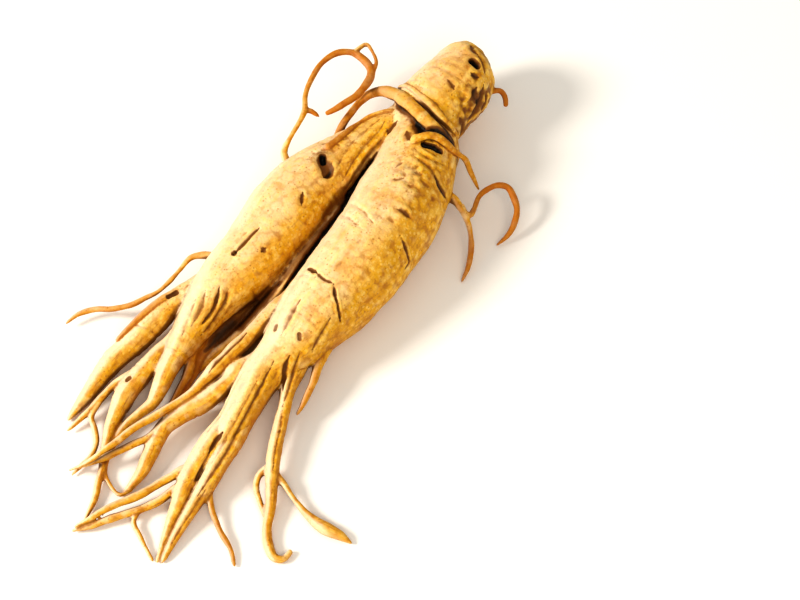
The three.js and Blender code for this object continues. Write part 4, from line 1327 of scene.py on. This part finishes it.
# The skin's colours from the ground up. Each follows a pattern or an attribute: its share grows between from and to,
# up to most, and only as far as within lets it. Without a range it follows it as it is.
skinLayers = [
    # Painted light in straw on the lit side and painted shade in gold on the other, with broad patches of pale straw
    # and ochre
    {"colour": "goldAndShadedSide", "follows": "goldAndShadedSide"},
    {"colour": "paleStraw", "follows": "patches", "from": 0.50, "to": 0.70, "most": 0.6, "within": "strawSkin"},
    {"colour": "ochre", "follows": "patches", "from": 0.48, "to": 0.30, "most": 0.55},
    # Mottling, coarser on the shaded sides, and fibres that run along the root
    {"colour": "ochre", "follows": "mottle", "from": 0.52, "to": 0.68, "most": 0.9, "within": "coarse"},
    {"colour": "fleck", "follows": "mottle", "from": 0.47, "to": 0.34, "most": 0.7, "within": "coarse"},
    {"colour": "tanDot", "follows": "fibres", "from": 0.52, "to": 0.70, "most": 0.75, "within": "fibrous"},
    # Painted shade in the hollows of the relief and painted highlight on its crests
    {"colour": "ochre", "follows": "relief", "from": 0.42, "to": 0.20, "most": 0.45},
    {"colour": "paleStraw", "follows": "relief", "from": 0.60, "to": 0.85, "most": 0.4},
    # Pebbles of cork with darker skin between them, and small pores in groups
    {"colour": "fleck", "follows": "pebbleTops"},
    {"colour": "tanDot", "follows": "pebbles", "from": 0.50, "to": 0.90, "most": 0.7, "within": "coarse"},
    {"colour": "tanDot", "follows": "dots", "from": 0.34, "to": 0.12, "most": 0.65, "within": "dotPlaces"},
    # Painted shade in the folds' valleys, painted highlight on their crests, and the painted lit strip
    {"colour": "foldShade", "follows": "fold", "from": 0.66, "to": 1.00, "most": 0.65},
    {"colour": "fleck", "follows": "fold", "from": 0.40, "to": 0.10, "most": 0.3},
    {"colour": "litEdge", "follows": "litStrip", "from": 0.00, "to": 1.00, "most": 0.6},
    # Painted shade low on the sides, rust on the thin roots with painted shade on the tails' far side, and painted
    # warm shade where roots close in on each other
    {"colour": "belly", "follows": "belly", "from": 0.00, "to": 0.90, "most": 0.75},
    {"colour": "rustAndShade", "follows": "rustAndShade"},
    {"colour": "closedInShade", "follows": "closedInShade", "from": 0.42, "to": 0.92, "most": 0.85},
    # Stains round scars, with painted shade on the crown's shaded side, then soil in the cracks and painted shade in
    # the clefts, the holes and round the collar
    {"colour": "stainAndShade", "follows": "stainAndShade", "from": 0.08, "to": 0.70, "most": 0.85},
    {"colour": "soilAndShadeEdge", "follows": "soilAndShade", "from": 0.05, "to": 0.40, "most": 1.0},
    {"colour": "soilAndShade", "follows": "soilAndShade", "from": 0.42, "to": 1.00, "most": 1.0},
]


def freshRootSkin():
    look = skinLook
    material = bpy.data.materials.new("freshRootSkin")
    material.use_nodes = True
    tree = material.node_tree
    shader = tree.nodes["Principled BSDF"]
    soft = {"interpolation_type": "SMOOTHSTEP"}

    # Everything that a colour can follow, by name
    follow = {}
    for name in ("soilAndShade", "stainAndShade", "rustAndShade", "relief", "goldAndShadedSide", "litStrip", "belly", "fibrous", "coarse", "fold", "closedInShade"):
        follow[name] = addNode(tree, "ShaderNodeAttribute", {"attribute_name": name}).outputs["Fac"]
    place = addNode(tree, "ShaderNodeTexCoord").outputs["Object"]
    grain = addNode(tree, "ShaderNodeAttribute", {"attribute_name": "grain"}).outputs["Vector"]
    for name, pattern in skinPatterns.items():
        along = place
        if "stretch" in pattern:
            along = addNode(tree, "ShaderNodeMapping", None, {
                "Vector": grain, "Scale": (1.0, 1.0, pattern["stretch"])}).outputs["Vector"]
        follow[name] = addNode(tree, "ShaderNodeTexNoise", None, {
            "Vector": along, "Scale": 1 / (pattern["size"] * mm),
            "Detail": pattern["detail"], "Roughness": pattern["roughness"]}).outputs["Fac"]
    for name, size in skinCells.items():
        follow[name] = addNode(tree, "ShaderNodeTexVoronoi", {"feature": "F1"}, {
            "Vector": place, "Scale": 1 / (size * mm), "Randomness": 1.0}).outputs["Distance"]
    for name, share in skinShares.items():
        follow[name] = addNode(tree, "ShaderNodeMapRange", soft, {
            "Value": follow[share["follows"]], "From Min": share["from"], "From Max": share["to"],
            "To Min": share["least"], "To Max": share["most"]}).outputs["Result"]
    follow["pebbleTops"] = addNode(tree, "ShaderNodeMath", {"operation": "MULTIPLY"}, {
        0: follow["pebbleMiddles"], 1: follow["coarse"]}).outputs[0]

    colour = linearColour(look["straw"])
    for layer in skinLayers:
        share = follow[layer["follows"]]
        if "from" in layer:
            share = addNode(tree, "ShaderNodeMapRange", soft, {
                "Value": share, "From Min": layer["from"], "From Max": layer["to"],
                "To Max": layer["most"]}).outputs["Result"]
        if "within" in layer:
            share = addNode(tree, "ShaderNodeMath", {"operation": "MULTIPLY"}, {
                0: share, 1: follow[layer["within"]]}).outputs[0]
        colour = addNode(tree, "ShaderNodeMix", {"data_type": "RGBA"}, {
            0: share, 6: colour, 7: linearColour(look[layer["colour"]])}).outputs[2]
    tree.links.new(colour, shader.inputs["Base Color"])

    roughness = addNode(tree, "ShaderNodeMapRange", soft, {
        "Value": follow["mottle"], "From Min": 0.3, "From Max": 0.7,
        "To Min": look["roughness"] - look["roughnessDown"], "To Max": look["roughness"] + look["roughnessUp"]})
    tree.links.new(roughness.outputs["Result"], shader.inputs["Roughness"])
    shader.inputs["Specular IOR Level"].default_value = look["specular"]
    shader.inputs["Subsurface Weight"].default_value = look["subsurface"]
    shader.inputs["Subsurface Radius"].default_value = look["subsurfaceShares"]
    shader.inputs["Subsurface Scale"].default_value = look["subsurfaceReach"] * mm

    # Fine skin grain, finer than the mesh: pores, fibres and pebbles
    height = follow["pores"]
    for name, strength in (("fibres", look["fibreBump"]), ("pebbleTops", look["pebbleBump"])):
        height = addNode(tree, "ShaderNodeMath", {"operation": "MULTIPLY_ADD"}, {
            0: follow[name], 1: strength, 2: height}).outputs[0]
    bump = addNode(tree, "ShaderNodeBump", None, {
        "Strength": 1.0, "Distance": look["bumpHeight"] * mm, "Height": height})
    tree.links.new(bump.outputs["Normal"], shader.inputs["Normal"])
    return material


# Build the part

print("camera and studio")
pointCamera()
setStudio()

print("sweeping the roots")
rootSweeps, rootWalks = sweepAllRoots()

print("fusing them into one root")
ginsengRoot = fuseRoots(rootSweeps)

print("growing the skin's relief")
growSkin(ginsengRoot, rootWalks)
thinMesh(ginsengRoot)
shadeFoldsAndHollows(ginsengRoot, rootWalks)
print("triangles", len(ginsengRoot.data.polygons))

print("colouring the skin")
ginsengRoot.data.materials.clear()
ginsengRoot.data.materials.append(freshRootSkin())
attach(ginsengRoot, "root")
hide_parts("ginseng_root")
